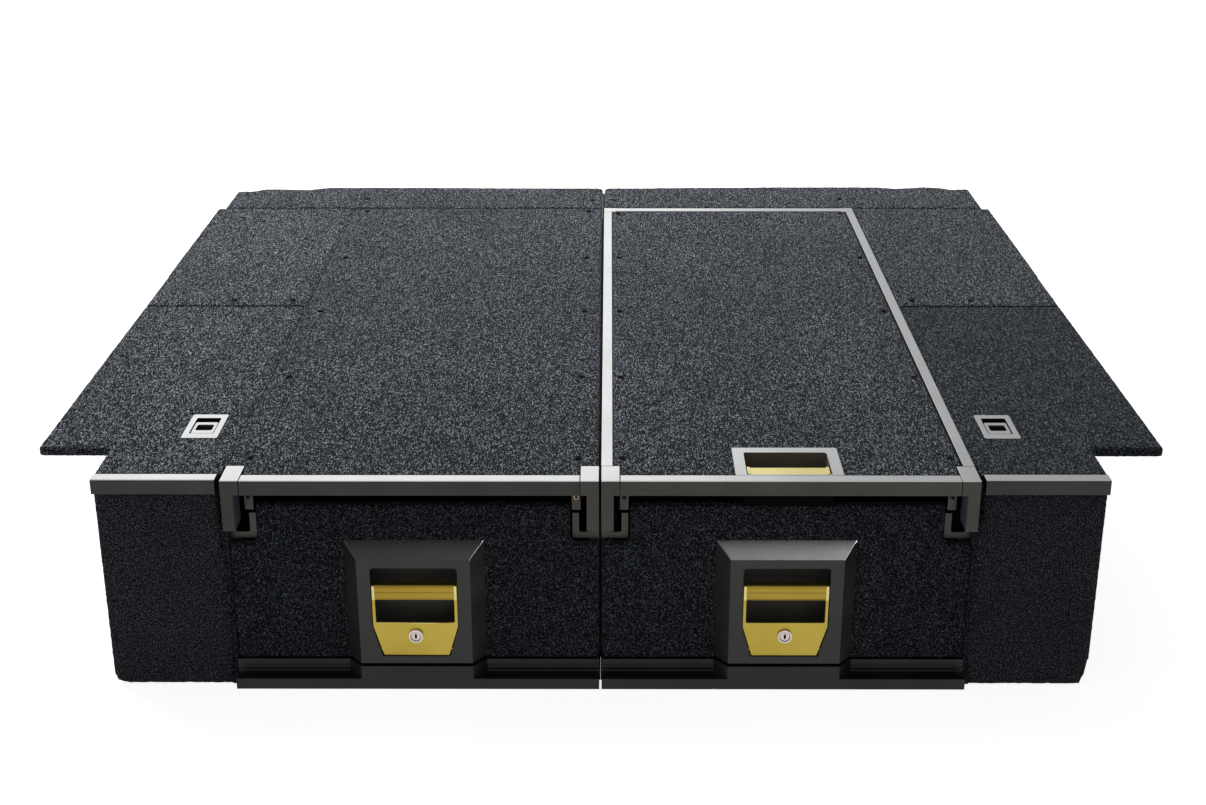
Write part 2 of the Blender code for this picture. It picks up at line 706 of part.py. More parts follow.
def drawer_front(side):
    """Front board with its top corners notched for the rails and an opening for the handle pocket."""
    notch = RAIL_WIDTH + DRAWER_NOTCH_GAP
    notch_foot = RAIL_BOTTOM - DRAWER_NOTCH_GAP
    left = [(inset(side, "left", distance), up) for distance, up in (
        (notch, DRAWER_TOP), (notch, notch_foot), (0, notch_foot), (0, DRAWER_BOTTOM))]
    right = [(inset(side, "right", distance), up) for distance, up in (
        (0, DRAWER_BOTTOM), (0, notch_foot), (notch, notch_foot), (notch, DRAWER_TOP))]
    piece = prism([outline(*left, *right)], "XZ", DRAWER_FACE, DRAWER_BACK)
    half = CAVITY_WIDTH / 2 + CAVITY_WALL + CLEAR
    middle = module_centre(side)
    cut(piece, box((middle - half, middle + half), (DRAWER_FACE - OVERRUN, DRAWER_BACK + OVERRUN),
                   (CAVITY_BOTTOM - CAVITY_WALL - CLEAR, CAVITY_TOP + CAVITY_WALL + CLEAR)))
    return finished(piece, f"drawer_front_{side}", CARPET)


def drawer_tray(side):
    across = (inset(side, "left", TRAY_INSET), inset(side, "right", TRAY_INSET))
    inside = (inset(side, "left", TRAY_INSET + TRAY_WALL), inset(side, "right", TRAY_INSET + TRAY_WALL))
    front = DRAWER_BACK + CLEAR
    back = BACK_FACE - TRAY_BACK_GAP
    piece = box(across, (front, back), (TRAY_BOTTOM, TRAY_TOP))
    cut(piece, box(inside, (front + TRAY_WALL, back - TRAY_WALL), (TRAY_BOTTOM + TRAY_BASE, TRAY_TOP + OVERRUN)))
    return finished(piece, f"drawer_tray_{side}", BARE_BOARD)


def handle_outline(side, gap, top, corner):
    """Outline of the handle's face, grown by a gap: straight sides above, tapered below."""
    middle = module_centre(side)
    half = HANDLE_WIDTH / 2 + gap
    foot_half = HANDLE_FOOT_WIDTH / 2 + gap
    shoulder = HANDLE_BOTTOM + HANDLE_TAPER
    return outline(
        (middle - half, top, corner), (middle - half, shoulder),
        (middle - foot_half, HANDLE_BOTTOM - gap, HANDLE_CORNER),
        (middle + foot_half, HANDLE_BOTTOM - gap, HANDLE_CORNER),
        (middle + half, shoulder), (middle + half, top, corner))


def handle_housing(side):
    """Sloped surround on the drawer front with a pocket behind it that reaches through the board."""
    middle = module_centre(side)
    half = HOUSING_WIDTH / 2
    back = DRAWER_FACE - CLEAR
    piece = box((middle - half, middle + half), (HOUSING_FRONT, back),
                (HOUSING_BOTTOM, HOUSING_BOTTOM + HOUSING_HEIGHT))
    for vertex in piece.data.vertices:
        if vertex.co.y < 0:
            vertex.co.x -= math.copysign(HOUSING_SLOPE, vertex.co.x)
            if vertex.co.z > 0:
                vertex.co.z -= HOUSING_SLOPE
    inner = CAVITY_WIDTH / 2
    outer = inner + CAVITY_WALL
    join(piece, box((middle - outer, middle + outer), (back - EMBED, POCKET_BACK),
                    (CAVITY_BOTTOM - CAVITY_WALL, CAVITY_TOP + CAVITY_WALL)))
    window = handle_outline(side, HANDLE_GAP, CAVITY_TOP - WINDOW_DROP, WINDOW_CORNER)
    bolt_hole = (middle, BOLT_DEPTH, (HOUSING_BOTTOM + CAVITY_BOTTOM) / 2)
    cut(piece,
        box((middle - inner, middle + inner), (HOUSING_FRONT + HOUSING_FACE_PLATE, POCKET_BACK - CAVITY_WALL),
            (CAVITY_BOTTOM, CAVITY_TOP)),
        prism([window], "XZ", HOUSING_FRONT - OVERRUN, HOUSING_FRONT + HOUSING_FACE_PLATE + OVERRUN),
        rod("Z", bolt_hole, BOLT_RADIUS + CLEAR, CAVITY_LIFT + 2 * OVERRUN))
    return finished(piece, f"handle_housing_{side}", MOULDED)


def drawer_handle(side):
    """Paddle with a finger opening under its grip bar, on a pivot pin across the foot of the pocket."""
    middle = module_centre(side)
    half = HANDLE_WIDTH / 2
    opening = rectangle((middle - half + HANDLE_ARM, middle + half - HANDLE_ARM),
                        (HANDLE_PLATE_TOP, HANDLE_BAR_BOTTOM), HANDLE_CORNER)
    face = handle_outline(side, 0, HANDLE_TOP - HANDLE_BAR_ROUND, HANDLE_CORNER)
    piece = prism([face, opening], "XZ", HANDLE_PLATE_FRONT, HANDLE_PLATE_FRONT + HANDLE_PLATE)
    grip = rectangle((HANDLE_BAR_FRONT, HANDLE_BAR_FRONT + HANDLE_BAR_DEPTH), (HANDLE_BAR_BOTTOM, HANDLE_TOP),
                     HANDLE_BAR_ROUND)
    axis_up = HANDLE_BOTTOM + PIVOT_RISE
    join(piece,
         prism([grip], "YZ", middle - half, middle + half),
         rod("X", (middle, PIVOT_DEPTH, axis_up), PIVOT_RADIUS, CAVITY_WIDTH - 2 * CLEAR))
    lock_middle = (middle, HANDLE_PLATE_FRONT + HANDLE_PLATE / 2, HANDLE_BOTTOM + LOCK_RISE)
    cut(piece, rod("Y", lock_middle, LOCK_BARREL_RADIUS + CLEAR, HANDLE_PLATE + 2 * OVERRUN))
    finished(piece, f"drawer_handle_{side}", GOLD)
    return carried(f"drawer_handle_axis_{side}", (middle, PIVOT_DEPTH, axis_up), [piece])


def key_lock(side):
    """Flanged lock barrel turned about its own axis, with a slot for the key."""
    middle = module_centre(side)
    up = HANDLE_BOTTOM + LOCK_RISE
    flange_back = HANDLE_PLATE_FRONT - CLEAR
    face = flange_back - LOCK_FLANGE
    profile = [
        (0, 0), (LOCK_RADIUS, 0), (LOCK_RADIUS, -LOCK_FLANGE), (LOCK_BARREL_RADIUS, -LOCK_FLANGE),
        (LOCK_BARREL_RADIUS, face - LOCK_BARREL_BACK), (0, face - LOCK_BARREL_BACK)]
    mesh = bpy.data.meshes.new("lock_profile")
    mesh.from_pydata([(radius, 0, height) for radius, height in profile],
                     [(index, index + 1) for index in range(len(profile) - 1)], [])
    piece = bpy.data.objects.new("lock", mesh)
    PARTS.objects.link(piece)
    piece.location = (middle, FRONT_PLANE + face, up)
    piece.rotation_euler = (math.pi / 2, 0, 0)
    turned = piece.modifiers.new("turned", "SCREW")
    turned.steps = ROUND_SIDES
    turned.render_steps = ROUND_SIDES
    turned.use_merge_vertices = True
    turned.merge_threshold = WELD
    cut(piece, box((middle - KEY_SLOT_WIDTH / 2, middle + KEY_SLOT_WIDTH / 2),
                   (face - OVERRUN, face + KEY_SLOT_DEPTH),
                   (up - KEY_SLOT_HEIGHT / 2, up + KEY_SLOT_HEIGHT / 2)))
    finished(piece, f"key_lock_{side}", NICKEL)
    return carried(f"key_lock_axis_{side}", (middle, face, up), [piece])


def drawer_latch_bolt(side):
    """Upright bolt in the foot of the housing, drawn up clear of the sill block."""
    low = HOUSING_BOTTOM + CLEAR
    middle = (module_centre(side), BOLT_DEPTH, low + BOLT_HEIGHT / 2)
    piece = finished(rod("Z", middle, BOLT_RADIUS, BOLT_HEIGHT), f"drawer_latch_bolt_{side}", STEEL)
    return carried(f"drawer_latch_axis_{side}", middle, [piece])


# Wings at the sides of the tub

def wing_front(side):
    """Upright front panel with a seat for the lid and a cleat to the module behind it."""
    inner = WING_GAP + WING_TRIM_INSET
    outer = WING_GAP + WING_FRONT_WIDTH
    top = HEIGHT - TRIM_HEIGHT - CLEAR
    if side == "left":
        foot = [(outward(side, outer), 0, WING_CORNER)]
    else:
        foot = []
        for step in range(CURVE_STEPS + 1):
            share = step / CURVE_STEPS
            foot.append((outward(side, outer - WING_CURVE_REACH * (1 - share) ** 2), WING_CURVE_RISE * share))
    face = outline((outward(side, inner), 0), *foot, (outward(side, outer), top), (outward(side, inner), top))
    back = WING_PANEL_FACE + BOARD
    piece = prism([face], "XZ", WING_PANEL_FACE, back)
    cleat_top = DECK_BOTTOM - CLEAR
    seat_bottom = cleat_top - LID_SEAT_HEIGHT
    cleat = outline(
        (outward(side, CLEAR), FLOOR_BOARD), (outward(side, CLEAR + CLEAT_WIDTH), FLOOR_BOARD),
        (outward(side, CLEAR + CLEAT_WIDTH), seat_bottom), (outward(side, outer - LID_SEAT_END), seat_bottom),
        (outward(side, outer - LID_SEAT_END), cleat_top), (outward(side, CLEAR), cleat_top))
    join(piece, prism([cleat], "XZ", back - EMBED, back + CLEAT_THICKNESS))
    return finished(piece, f"wing_front_{side}", CARPET)


def wing_trim(side):
    back = WING_TRIM_FRONT + WING_TRIM_DEPTH
    low = HEIGHT - TRIM_HEIGHT
    section = outline((WING_TRIM_FRONT, low), (back, low), (back, HEIGHT), (WING_TRIM_FRONT, HEIGHT, TRIM_ROUND))
    piece = prism([section], "YZ", outward(side, WING_GAP + WING_TRIM_INSET),
                  outward(side, WING_GAP + WING_FRONT_WIDTH))
    return finished(piece, f"wing_trim_{side}", DARK_TRIM)


def pull_middle(side):
    return outward(side, WING_GAP + PULL_ACROSS)


def pull_outline(side, width, front, length, corner):
    """Rounded rectangle about the ring pull's middle line, placed back from the bezel's front."""
    middle = pull_middle(side)
    return rectangle((middle - width / 2, middle + width / 2),
                     (PULL_FRONT + front, PULL_FRONT + front + length), corner)


def cup_outline(side, growth):
    return pull_outline(side, CUP_WIDTH + 2 * growth, CUP_FRONT - growth, CUP_LENGTH + 2 * growth, CUP_CORNER)


def wing_edge(side, along):
    """X of the wing's outer edge, which splays out a little from its step to the back."""
    share = (along - WING_STEP) / (MODULE_DEPTH - WING_STEP)
    return outward(side, WING_GAP + WING_WIDTH + WING_SPLAY * share)


def wing_lid(side):
    """Lift-up lid over the wing's bin, stepped in at the front and rebated for the ring pull."""
    front = WING_TRIM_FRONT + WING_TRIM_DEPTH + LID_FRONT_GAP
    back = LID_SEAM - CLEAR
    plan = outline(
        (outward(side, WING_GAP), front), (outward(side, WING_GAP + WING_FRONT_WIDTH), front),
        (outward(side, WING_GAP + WING_FRONT_WIDTH), WING_STEP),
        (wing_edge(side, WING_STEP), WING_STEP),
        (wing_edge(side, back), back), (outward(side, WING_GAP), back))
    hole = cup_outline(side, CUP_WALL + CLEAR)
    piece = prism([plan, hole], "XY", DECK_BOTTOM, HEIGHT)
    rebate = pull_outline(side, BEZEL_WIDTH + 2 * CLEAR, -CLEAR, BEZEL_LENGTH + 2 * CLEAR, BEZEL_CORNER)
    cut(piece, prism([rebate], "XY", HEIGHT - BEZEL_FLANGE - CLEAR, HEIGHT + OVERRUN))
    return finished(piece, f"wing_lid_{side}", CARPET)


def ring_bezel(side):
    """Flush bezel with a shallow cup for the ring."""
    face = pull_outline(side, BEZEL_WIDTH, 0, BEZEL_LENGTH, BEZEL_CORNER)
    piece = prism([face], "XY", HEIGHT - BEZEL_FLANGE, HEIGHT)
    join(piece, prism([cup_outline(side, CUP_WALL)], "XY", HEIGHT - CUP_DEPTH - CUP_BASE,
                      HEIGHT - BEZEL_FLANGE / 2))
    cut(piece, prism([cup_outline(side, 0)], "XY", HEIGHT - CUP_DEPTH, HEIGHT + OVERRUN))
    return finished(piece, f"ring_bezel_{side}", BRIGHT_TRIM)


def ring_pull(side):
    """Flat ring that folds up about a pin near its front edge."""
    middle = pull_middle(side)
    face = pull_outline(side, RING_WIDTH, RING_FRONT, RING_LENGTH, RING_CORNER)
    hole_length = RING_LENGTH - RING_FRONT_BAR - RING_BACK_BAR
    hole = pull_outline(side, RING_WIDTH - 2 * RING_SIDE, RING_FRONT + RING_FRONT_BAR, hole_length, RING_CORNER)
    top = HEIGHT - RING_SINK
    piece = prism([face, hole], "XY", top - RING_THICKNESS, top)
    axis = (middle, PULL_FRONT + RING_FRONT + RING_PIVOT, top - RING_THICKNESS / 2)
    join(piece, rod("X", axis, RING_PIN_RADIUS, CUP_WIDTH - 2 * CLEAR))
    finished(piece, f"ring_pull_{side}", STEEL)
    return carried(f"ring_axis_{side}", axis, [piece])


def wing_rear_top(side):
    """Fixed panel behind the lid, with a cleat along the module's side."""
    front = LID_SEAM + CLEAR
    plan = outline((outward(side, WING_GAP), front), (wing_edge(side, front), front),
                   (wing_edge(side, MODULE_DEPTH), MODULE_DEPTH), (outward(side, WING_GAP), MODULE_DEPTH))
    piece = prism([plan], "XY", DECK_BOTTOM, HEIGHT)
    join(piece, box((outward(side, CLEAR), outward(side, CLEAR + CLEAT_WIDTH)),
                    (front + BOARD, MODULE_DEPTH - BOARD), (DECK_BOTTOM - CLEAT_HEIGHT, DECK_BOTTOM + EMBED)))
    return finished(piece, f"wing_rear_top_{side}", CARPET)


def rear_infill(side):
    """Strip behind the decks, its back edge stepped to the tub's front wall, with a cleat on the back panel."""
    front = MODULE_DEPTH + REAR_SEAM
    inner = SIDES[side] * MODULE_GAP / 2
    outer = wing_edge(side, MODULE_DEPTH) - SIDES[side] * INFILL_INSET
    chamfer = inner + SIDES[side] * INFILL_CHAMFER
    *steps, (_, middle_share) = REAR_EDGE_SHARES[side]
    back = [(inner + (outer - inner) * out, TOTAL_DEPTH - INFILL_SWING * swing) for out, swing in steps]
    middle_back = TOTAL_DEPTH - INFILL_SWING * middle_share
    plan = outline((inner, front), (outer, front), *back, (chamfer, middle_back),
                   (inner, middle_back - INFILL_CHAMFER))
    piece = prism([plan], "XY", DECK_BOTTOM, HEIGHT)
    cleat = box((inset(side, "left", INFILL_CLEAT_END), inset(side, "right", INFILL_CLEAT_END)),
                (MODULE_DEPTH + CLEAR, MODULE_DEPTH + CLEAR + INFILL_CLEAT_DEPTH),
                (DECK_BOTTOM - CLEAT_HEIGHT, DECK_BOTTOM + EMBED))
    join(piece, cleat)
    return finished(piece, f"rear_infill_{side}", CARPET)


# The two drawer modules

for side in SIDES:
    floor_panel(side)
    back_panel(side)
    for edge in SIDES:
        side_wall(side, edge)
        channel_rail(side, edge)
        angle_rail(side, edge)
    sill(side)
    sill_block(side)
    drawer = [drawer_front(side), drawer_tray(side), handle_housing(side)]
    handle = drawer_handle(side)
    carried(f"drawer_slide_{side}", (module_centre(side), DRAWER_FACE, TRAY_BOTTOM),
            drawer + [handle, drawer_latch_bolt(side)])
    lock = key_lock(side)
    bpy.context.view_layer.update()
    lock.parent = handle
    lock.matrix_parent_inverse = handle.matrix_world.inverted()

# The fixed deck on the left and the table on the right

fixed_deck()
front_trim("left", "fixed_deck_trim")
table = [table_deck(), table_edging(), front_trim("right", "table_trim"), table_handle_pocket(), table_handle(),
         table_latch_rod()]
for edge in SIDES:
    corner_cap("left", edge, f"fixed_deck_cap_{edge_name('left', edge)}")
    table.append(corner_cap("right", edge, f"table_cap_{edge_name('right', edge)}"))
    table.append(table_runner(edge))
carried("table_slide", (module_centre("right"), RAIL_FRONT, RAIL_TOP), table)

# The wings and the rear strips

for side in SIDES:
    wing_front(side)
    wing_trim(side)
    wing_rear_top(side)
    rear_infill(side)
    lid = [wing_lid(side), ring_bezel(side), ring_pull(side)]
    carried(f"lid_hinge_{side}", (outward(side, WING_GAP + WING_WIDTH / 2), LID_SEAM, HEIGHT), lid)
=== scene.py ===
import json
import math

import bpy
import numpy as np
from mathutils import Matrix, Vector


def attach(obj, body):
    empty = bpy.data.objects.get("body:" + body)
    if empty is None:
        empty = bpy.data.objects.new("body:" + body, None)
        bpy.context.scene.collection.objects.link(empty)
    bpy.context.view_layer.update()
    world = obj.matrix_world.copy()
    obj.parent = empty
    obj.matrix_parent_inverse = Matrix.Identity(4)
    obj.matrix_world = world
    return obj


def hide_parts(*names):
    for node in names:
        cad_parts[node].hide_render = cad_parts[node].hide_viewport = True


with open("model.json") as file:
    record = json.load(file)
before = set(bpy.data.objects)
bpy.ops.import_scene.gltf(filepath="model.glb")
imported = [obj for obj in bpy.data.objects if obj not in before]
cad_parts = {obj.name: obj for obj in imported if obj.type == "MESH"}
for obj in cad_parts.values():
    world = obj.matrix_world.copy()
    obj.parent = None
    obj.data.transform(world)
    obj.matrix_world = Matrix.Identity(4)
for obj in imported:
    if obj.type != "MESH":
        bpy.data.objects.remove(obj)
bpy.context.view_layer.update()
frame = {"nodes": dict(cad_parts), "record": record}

# Places and sizes of the part, in metres: y is told as a depth behind the face of the front trims
FRONT = -0.755
MODULE_MIDDLE = 0.25075
DECK_TOP = 0.313
TOP_FACES = 0.309
SIDES = {"left": -1, "right": 1}
MODULE_BODIES = {"left": "base", "right": "table"}
# Distance of each wall's outer face from the seam between the modules, and the way from it into the module
WALL_FACES = {"inner": 0.0015, "outer": 0.5}
INWARD = {"inner": 1, "outer": -1}
FINE_EDGE = 0.0005


def place(x, depth, z):
    return Vector((x, FRONT + depth, z))


# Materials: colours are sRGB hex values, and scales come from real sizes
def colour(hex_value):
    """One linear RGBA colour from its sRGB hex value."""
    shares = [int(hex_value[start:start + 2], 16) / 255 for start in (1, 3, 5)]
    linear = [share / 12.92 if share <= 0.04045 else ((share + 0.055) / 1.055) ** 2.4
              for share in shares]
    return linear + [1]


def add_node(tree, kind, inputs=None, links=None, stops=(), **settings):
    """One node with its settings, the values of its sockets and what is linked to them.

    The stops of a colour ramp are each a position and a hex colour.
    """
    made = tree.nodes.new("ShaderNode" + kind)
    for name, value in settings.items():
        setattr(made, name, value)
    for name, value in (inputs or {}).items():
        made.inputs[name].default_value = value
    for name, source in (links or {}).items():
        tree.links.new(source, made.inputs[name])
    if stops:
        band = made.color_ramp.elements
        for _ in stops[2:]:
            band.new(0.5)
        for element, (position, hex_value) in zip(band, stops):
            element.position = position
            element.color = colour(hex_value)
    return made


def start_material(name, **shader):
    """A material with its surface shader, and the place on the piece that its patterns read."""
    material = bpy.data.materials.new(name)
    material.use_nodes = True
    tree = material.node_tree
    tree.nodes.clear()
    surface = add_node(tree, "BsdfPrincipled", inputs=shader)
    add_node(tree, "OutputMaterial", links={"Surface": surface.outputs["BSDF"]})
    spot = add_node(tree, "TexCoord").outputs["Object"]
    return material, tree, surface, spot


TUFTS_PER_METRE = 590


def carpet_material(name, patch_and_light_range):
    """Needle-punched polyester carpet: a matt charcoal pile of dark and pale fibres.

    Copies of it are painted paler or darker, as painted light and shade on boards where more or less light
    falls.
    """
    material, tree, surface, spot = start_material(
        name, **{"Roughness": 0.95, "Specular IOR Level": 0.1, "Sheen Weight": 0.05, "Sheen Roughness": 0.5,
                 "Sheen Tint": colour("#dfe6ee")})
    # Tufts are drawn 1.7 mm across, coarser than the real 1.5 mm, and longer along Y, so that they still
    # show on tops that the camera sees at a slant
    long_tufts = add_node(tree, "Mapping", inputs={"Scale": (1, 0.32, 1)}, links={"Vector": spot})
    tufts = add_node(tree, "TexNoise", inputs={"Scale": TUFTS_PER_METRE, "Detail": 1, "Roughness": 0.6},
                     links={"Vector": long_tufts.outputs["Vector"]})
    flecks = add_node(tree, "TexVoronoi", inputs={"Scale": TUFTS_PER_METRE, "Randomness": 1},
                      links={"Vector": long_tufts.outputs["Vector"]})
    # Wider patches, some 200 mm across, where feet and loads have turned the pile
    clouds = add_node(tree, "TexNoise", inputs={"Scale": 5, "Detail": 2}, links={"Vector": spot})
    pile = add_node(tree, "ValToRGB", links={"Fac": tufts.outputs["Fac"]},
                    stops=((0.34, "#030405"), (0.46, "#12151a"), (0.56, "#3f434a"), (0.68, "#a4aab2")))
    picked = add_node(tree, "ValToRGB", links={"Fac": flecks.outputs["Color"]},
                      stops=((0.7, "#000000"), (0.78, "#ffffff")))
    dots = add_node(tree, "ValToRGB", links={"Fac": flecks.outputs["Distance"]},
                    stops=((0.2, "#ffffff"), (0.5, "#000000")))
    pale = add_node(tree, "Mix", inputs={"Factor": 1}, data_type="RGBA", blend_type="MULTIPLY",
                    links={"A": picked.outputs["Color"], "B": dots.outputs["Color"]})
    fibre = add_node(tree, "ValToRGB", links={"Fac": flecks.outputs["Color"]},
                     stops=((0.7, "#74849a"), (0.8, "#9c9ea0"), (0.9, "#95998f"), (1, "#b0bacc")))
    lighter = add_node(tree, "Mix", data_type="RGBA",
                       links={"A": pile.outputs["Color"], "B": fibre.outputs["Color"],
                              "Factor": pale.outputs["Result"]})
    # The patches span the range each copy is given, so this ramp also carries that copy's painted light or
    # shade
    worn = add_node(tree, "ValToRGB", links={"Fac": clouds.outputs["Fac"]},
                    stops=((0.3, patch_and_light_range[0]), (0.7, patch_and_light_range[1])))
    tone = add_node(tree, "Mix", inputs={"Factor": 1}, data_type="RGBA", blend_type="MULTIPLY",
                    links={"A": lighter.outputs["Result"], "B": worn.outputs["Color"]})
    tree.links.new(tone.outputs["Result"], surface.inputs["Base Color"])
    relief = add_node(tree, "Bump", inputs={"Strength": 1, "Distance": 0.004},
                      links={"Height": tufts.outputs["Fac"]})
    tree.links.new(relief.outputs["Normal"], surface.inputs["Normal"])
    return material


# Grain of the metals: drawn out along one axis by brushing and drawing, or even
ALONG_X = (0.02, 1, 1)
ALONG_Y = (1, 0.02, 1)
UPRIGHT = (1, 1, 0.02)
BLASTED = (1, 1, 1)


def metal_material(name, tone, roughness, lines=BLASTED, wear="#ffffff", metallic=1, grain=900,
                   depth=0.00005, shine=0.5):
    """A metal with fine marks, even or drawn out along the axis that has the small factor.

    Its grain is the number of marks in a metre. They are drawn 0.7 mm apart or more, coarser than the
    real ones, so that they show. Smears of some 70 mm, as from hands, lie over them.
    """
    material, tree, surface, spot = start_material(
        name, **{"Metallic": metallic, "Specular IOR Level": shine})
    turned = add_node(tree, "Mapping", inputs={"Scale": lines}, links={"Vector": spot})
    marks = add_node(tree, "TexNoise", inputs={"Scale": grain, "Detail": 2},
                     links={"Vector": turned.outputs["Vector"]})
    smears = add_node(tree, "TexNoise", inputs={"Scale": 14, "Detail": 3}, links={"Vector": spot})
    shade = add_node(tree, "ValToRGB", links={"Fac": smears.outputs["Fac"]},
                     stops=((0.25, wear), (0.7, "#ffffff")))
    tinted = add_node(tree, "Mix", inputs={"Factor": 1, "A": colour(tone)}, data_type="RGBA",
                      blend_type="MULTIPLY", links={"B": shade.outputs["Color"]})
    tree.links.new(tinted.outputs["Result"], surface.inputs["Base Color"])
    gloss = add_node(tree, "MapRange", inputs={"To Min": roughness - 0.06, "To Max": roughness + 0.06},
                     links={"Value": marks.outputs["Fac"]})
    tree.links.new(gloss.outputs["Result"], surface.inputs["Roughness"])
    relief = add_node(tree, "Bump", inputs={"Strength": 0.3, "Distance": depth},
                      links={"Height": marks.outputs["Fac"]})
    tree.links.new(relief.outputs["Normal"], surface.inputs["Normal"])
    return material


def plastic_material(name, tone, roughness, grain=1400, depth=0.0002, shine=0.5):
    """Moulded plastic with a spark-eroded grain, worn a little smoother in patches of some 55 mm.

    Its grain is the number of pores in a metre. They are drawn 0.7 mm apart or more, coarser than the
    real ones, so that they show.
    """
    material, tree, surface, spot = start_material(name, **{"IOR": 1.52, "Specular IOR Level": shine})
    pores = add_node(tree, "TexNoise", inputs={"Scale": grain, "Detail": 2}, links={"Vector": spot})
    rubbed = add_node(tree, "TexNoise", inputs={"Scale": 18, "Detail": 3}, links={"Vector": spot})
    shade = add_node(tree, "ValToRGB", links={"Fac": rubbed.outputs["Fac"]},
                     stops=((0.3, "#dcdcdc"), (0.7, "#ffffff")))
    tinted = add_node(tree, "Mix", inputs={"Factor": 1, "A": colour(tone)}, data_type="RGBA",
                      blend_type="MULTIPLY", links={"B": shade.outputs["Color"]})
    tree.links.new(tinted.outputs["Result"], surface.inputs["Base Color"])
    gloss = add_node(tree, "MapRange", inputs={"To Min": roughness - 0.08, "To Max": roughness + 0.08},
                     links={"Value": rubbed.outputs["Fac"]})
    tree.links.new(gloss.outputs["Result"], surface.inputs["Roughness"])
    relief = add_node(tree, "Bump", inputs={"Strength": 0.25, "Distance": depth},
                      links={"Height": pores.outputs["Fac"]})
    tree.links.new(relief.outputs["Normal"], surface.inputs["Normal"])
    return material


def plywood_material():
    """Film-faced birch plywood: dark brown sealed faces with a faint grain of 3 mm along the board."""
    material, tree, surface, spot = start_material("sealed_dark_plywood", **{"Specular IOR Level": 0.4})
    turned = add_node(tree, "Mapping", inputs={"Scale": (40, 3, 40)}, links={"Vector": spot})
    grain = add_node(tree, "TexNoise", inputs={"Scale": 8, "Detail": 5, "Roughness": 0.6},
                     links={"Vector": turned.outputs["Vector"]})
    shade = add_node(tree, "ValToRGB", links={"Fac": grain.outputs["Fac"]},
                     stops=((0.3, "#2a221b"), (0.55, "#3a3027"), (0.75, "#463a2f")))
    tree.links.new(shade.outputs["Color"], surface.inputs["Base Color"])
    gloss = add_node(tree, "MapRange", inputs={"To Min": 0.45, "To Max": 0.65},
                     links={"Value": grain.outputs["Fac"]})
    tree.links.new(gloss.outputs["Result"], surface.inputs["Roughness"])
    return material


# Carpet: speckled charcoal, and copies of it painted paler or darker as painted light and shade: paler on
# the left wing, darker on the right lid, the upright fronts and the strips beside the wings
carpet = carpet_material("needle_punched_charcoal_carpet", ("#dadada", "#f2f2f2"))
lit_carpet = carpet_material("needle_punched_carpet_painted_light", ("#f0f0ee", "#ffffff"))
shaded_carpet = carpet_material("needle_punched_carpet_painted_shade", ("#a6aab0", "#bec1c6"))
front_shade_carpet = carpet_material("needle_punched_carpet_painted_front_shade", ("#bebfc2", "#d2d3d6"))
deep_shade_carpet = carpet_material("needle_punched_carpet_painted_deep_shade", ("#b0b2b6", "#c6c8cc"))
seam_shade_carpet = carpet_material("needle_punched_carpet_painted_seam_shade", ("#46484c", "#5a5c60"))
# Film-faced plywood: plain, dark brown and half matt
plywood = plywood_material()
# Satin anodised aluminium, streaked along the way it was drawn; on the top faces of the dark trims and caps
# it is a painted reflection, standing for the bright sheen the light gives them
satin_and_reflection_across = metal_material(
    "satin_anodised_aluminium_drawn_across", "#b3b4b5", 0.32, ALONG_X, "#f2f2f2")
satin_and_reflection_along = metal_material(
    "satin_anodised_aluminium_and_painted_reflection_drawn_along", "#b3b4b5", 0.32, ALONG_Y, "#f2f2f2")
# A paler copy, painted as a highlight on the edging's inner and rear runs
highlight_aluminium = metal_material("anodised_aluminium_painted_highlight", "#d8d8d7", 0.3, ALONG_Y, "#f4f4f4")
# Gunmetal anodising: dark grey with a warm cast and a dull sheen
gunmetal = metal_material("gunmetal_anodised_aluminium_brushed", "#454340", 0.42, UPRIGHT, "#e4e4e4")
# A darker copy of the gunmetal, painted as shade on the fixed deck's trim, its outer cap and the wing trims
shaded_gunmetal = metal_material(
    "gunmetal_anodised_aluminium_painted_shade", "#3d3b39", 0.42, UPRIGHT, "#e4e4e4")
# Black coats on rails and sills: nearly black, with a broad soft shine
black_coat = metal_material(
    "black_powder_coated_aluminium", "#2a2a2b", 0.5, wear="#e0e0e0", metallic=0.35, grain=700)
sill_finish = metal_material("black_anodised_extrusion", "#2b2b2c", 0.4, ALONG_X, "#dadada", 0.7)
# A paler, duller grey on the flanks of the caps' legs: painted light, which keeps them from going black in
# their narrow slot
lit_cap_flank = metal_material("grey_painted_light_on_cap_flanks", "#5c6068", 0.6, wear="#d8d8d8", metallic=0.1, shine=0.3)
# Zinc and nickel plate: a clear grey shine with fine spangle, and a brighter one on the locks
zinc = metal_material("zinc_plated_steel", "#a3a6a9", 0.34, wear="#d8dade", grain=240)
nickel = metal_material("bright_nickel_plate", "#cfc5bc", 0.24, wear="#eeeeee", grain=600)
# Gold anodising: an even matt glow on the blasted plates and deeper on the ribs; a paler gold, painted as a
# highlight, on the plates' top edges, the table's grip and the grips' end caps
gold = metal_material("gold_anodised_aluminium_bead_blasted", "#b7a24a", 0.4, wear="#f0ece0", grain=1500)
deep_gold = metal_material(
    "gold_anodised_extrusion_ribbed", "#a68f3e", 0.42, ALONG_X, "#e8e0cc", depth=0.0001)
pale_gold_highlight = metal_material("gold_anodised_aluminium_pale_painted_highlight", "#d6ca88", 0.35, wear="#f4f0e4", grain=1500)
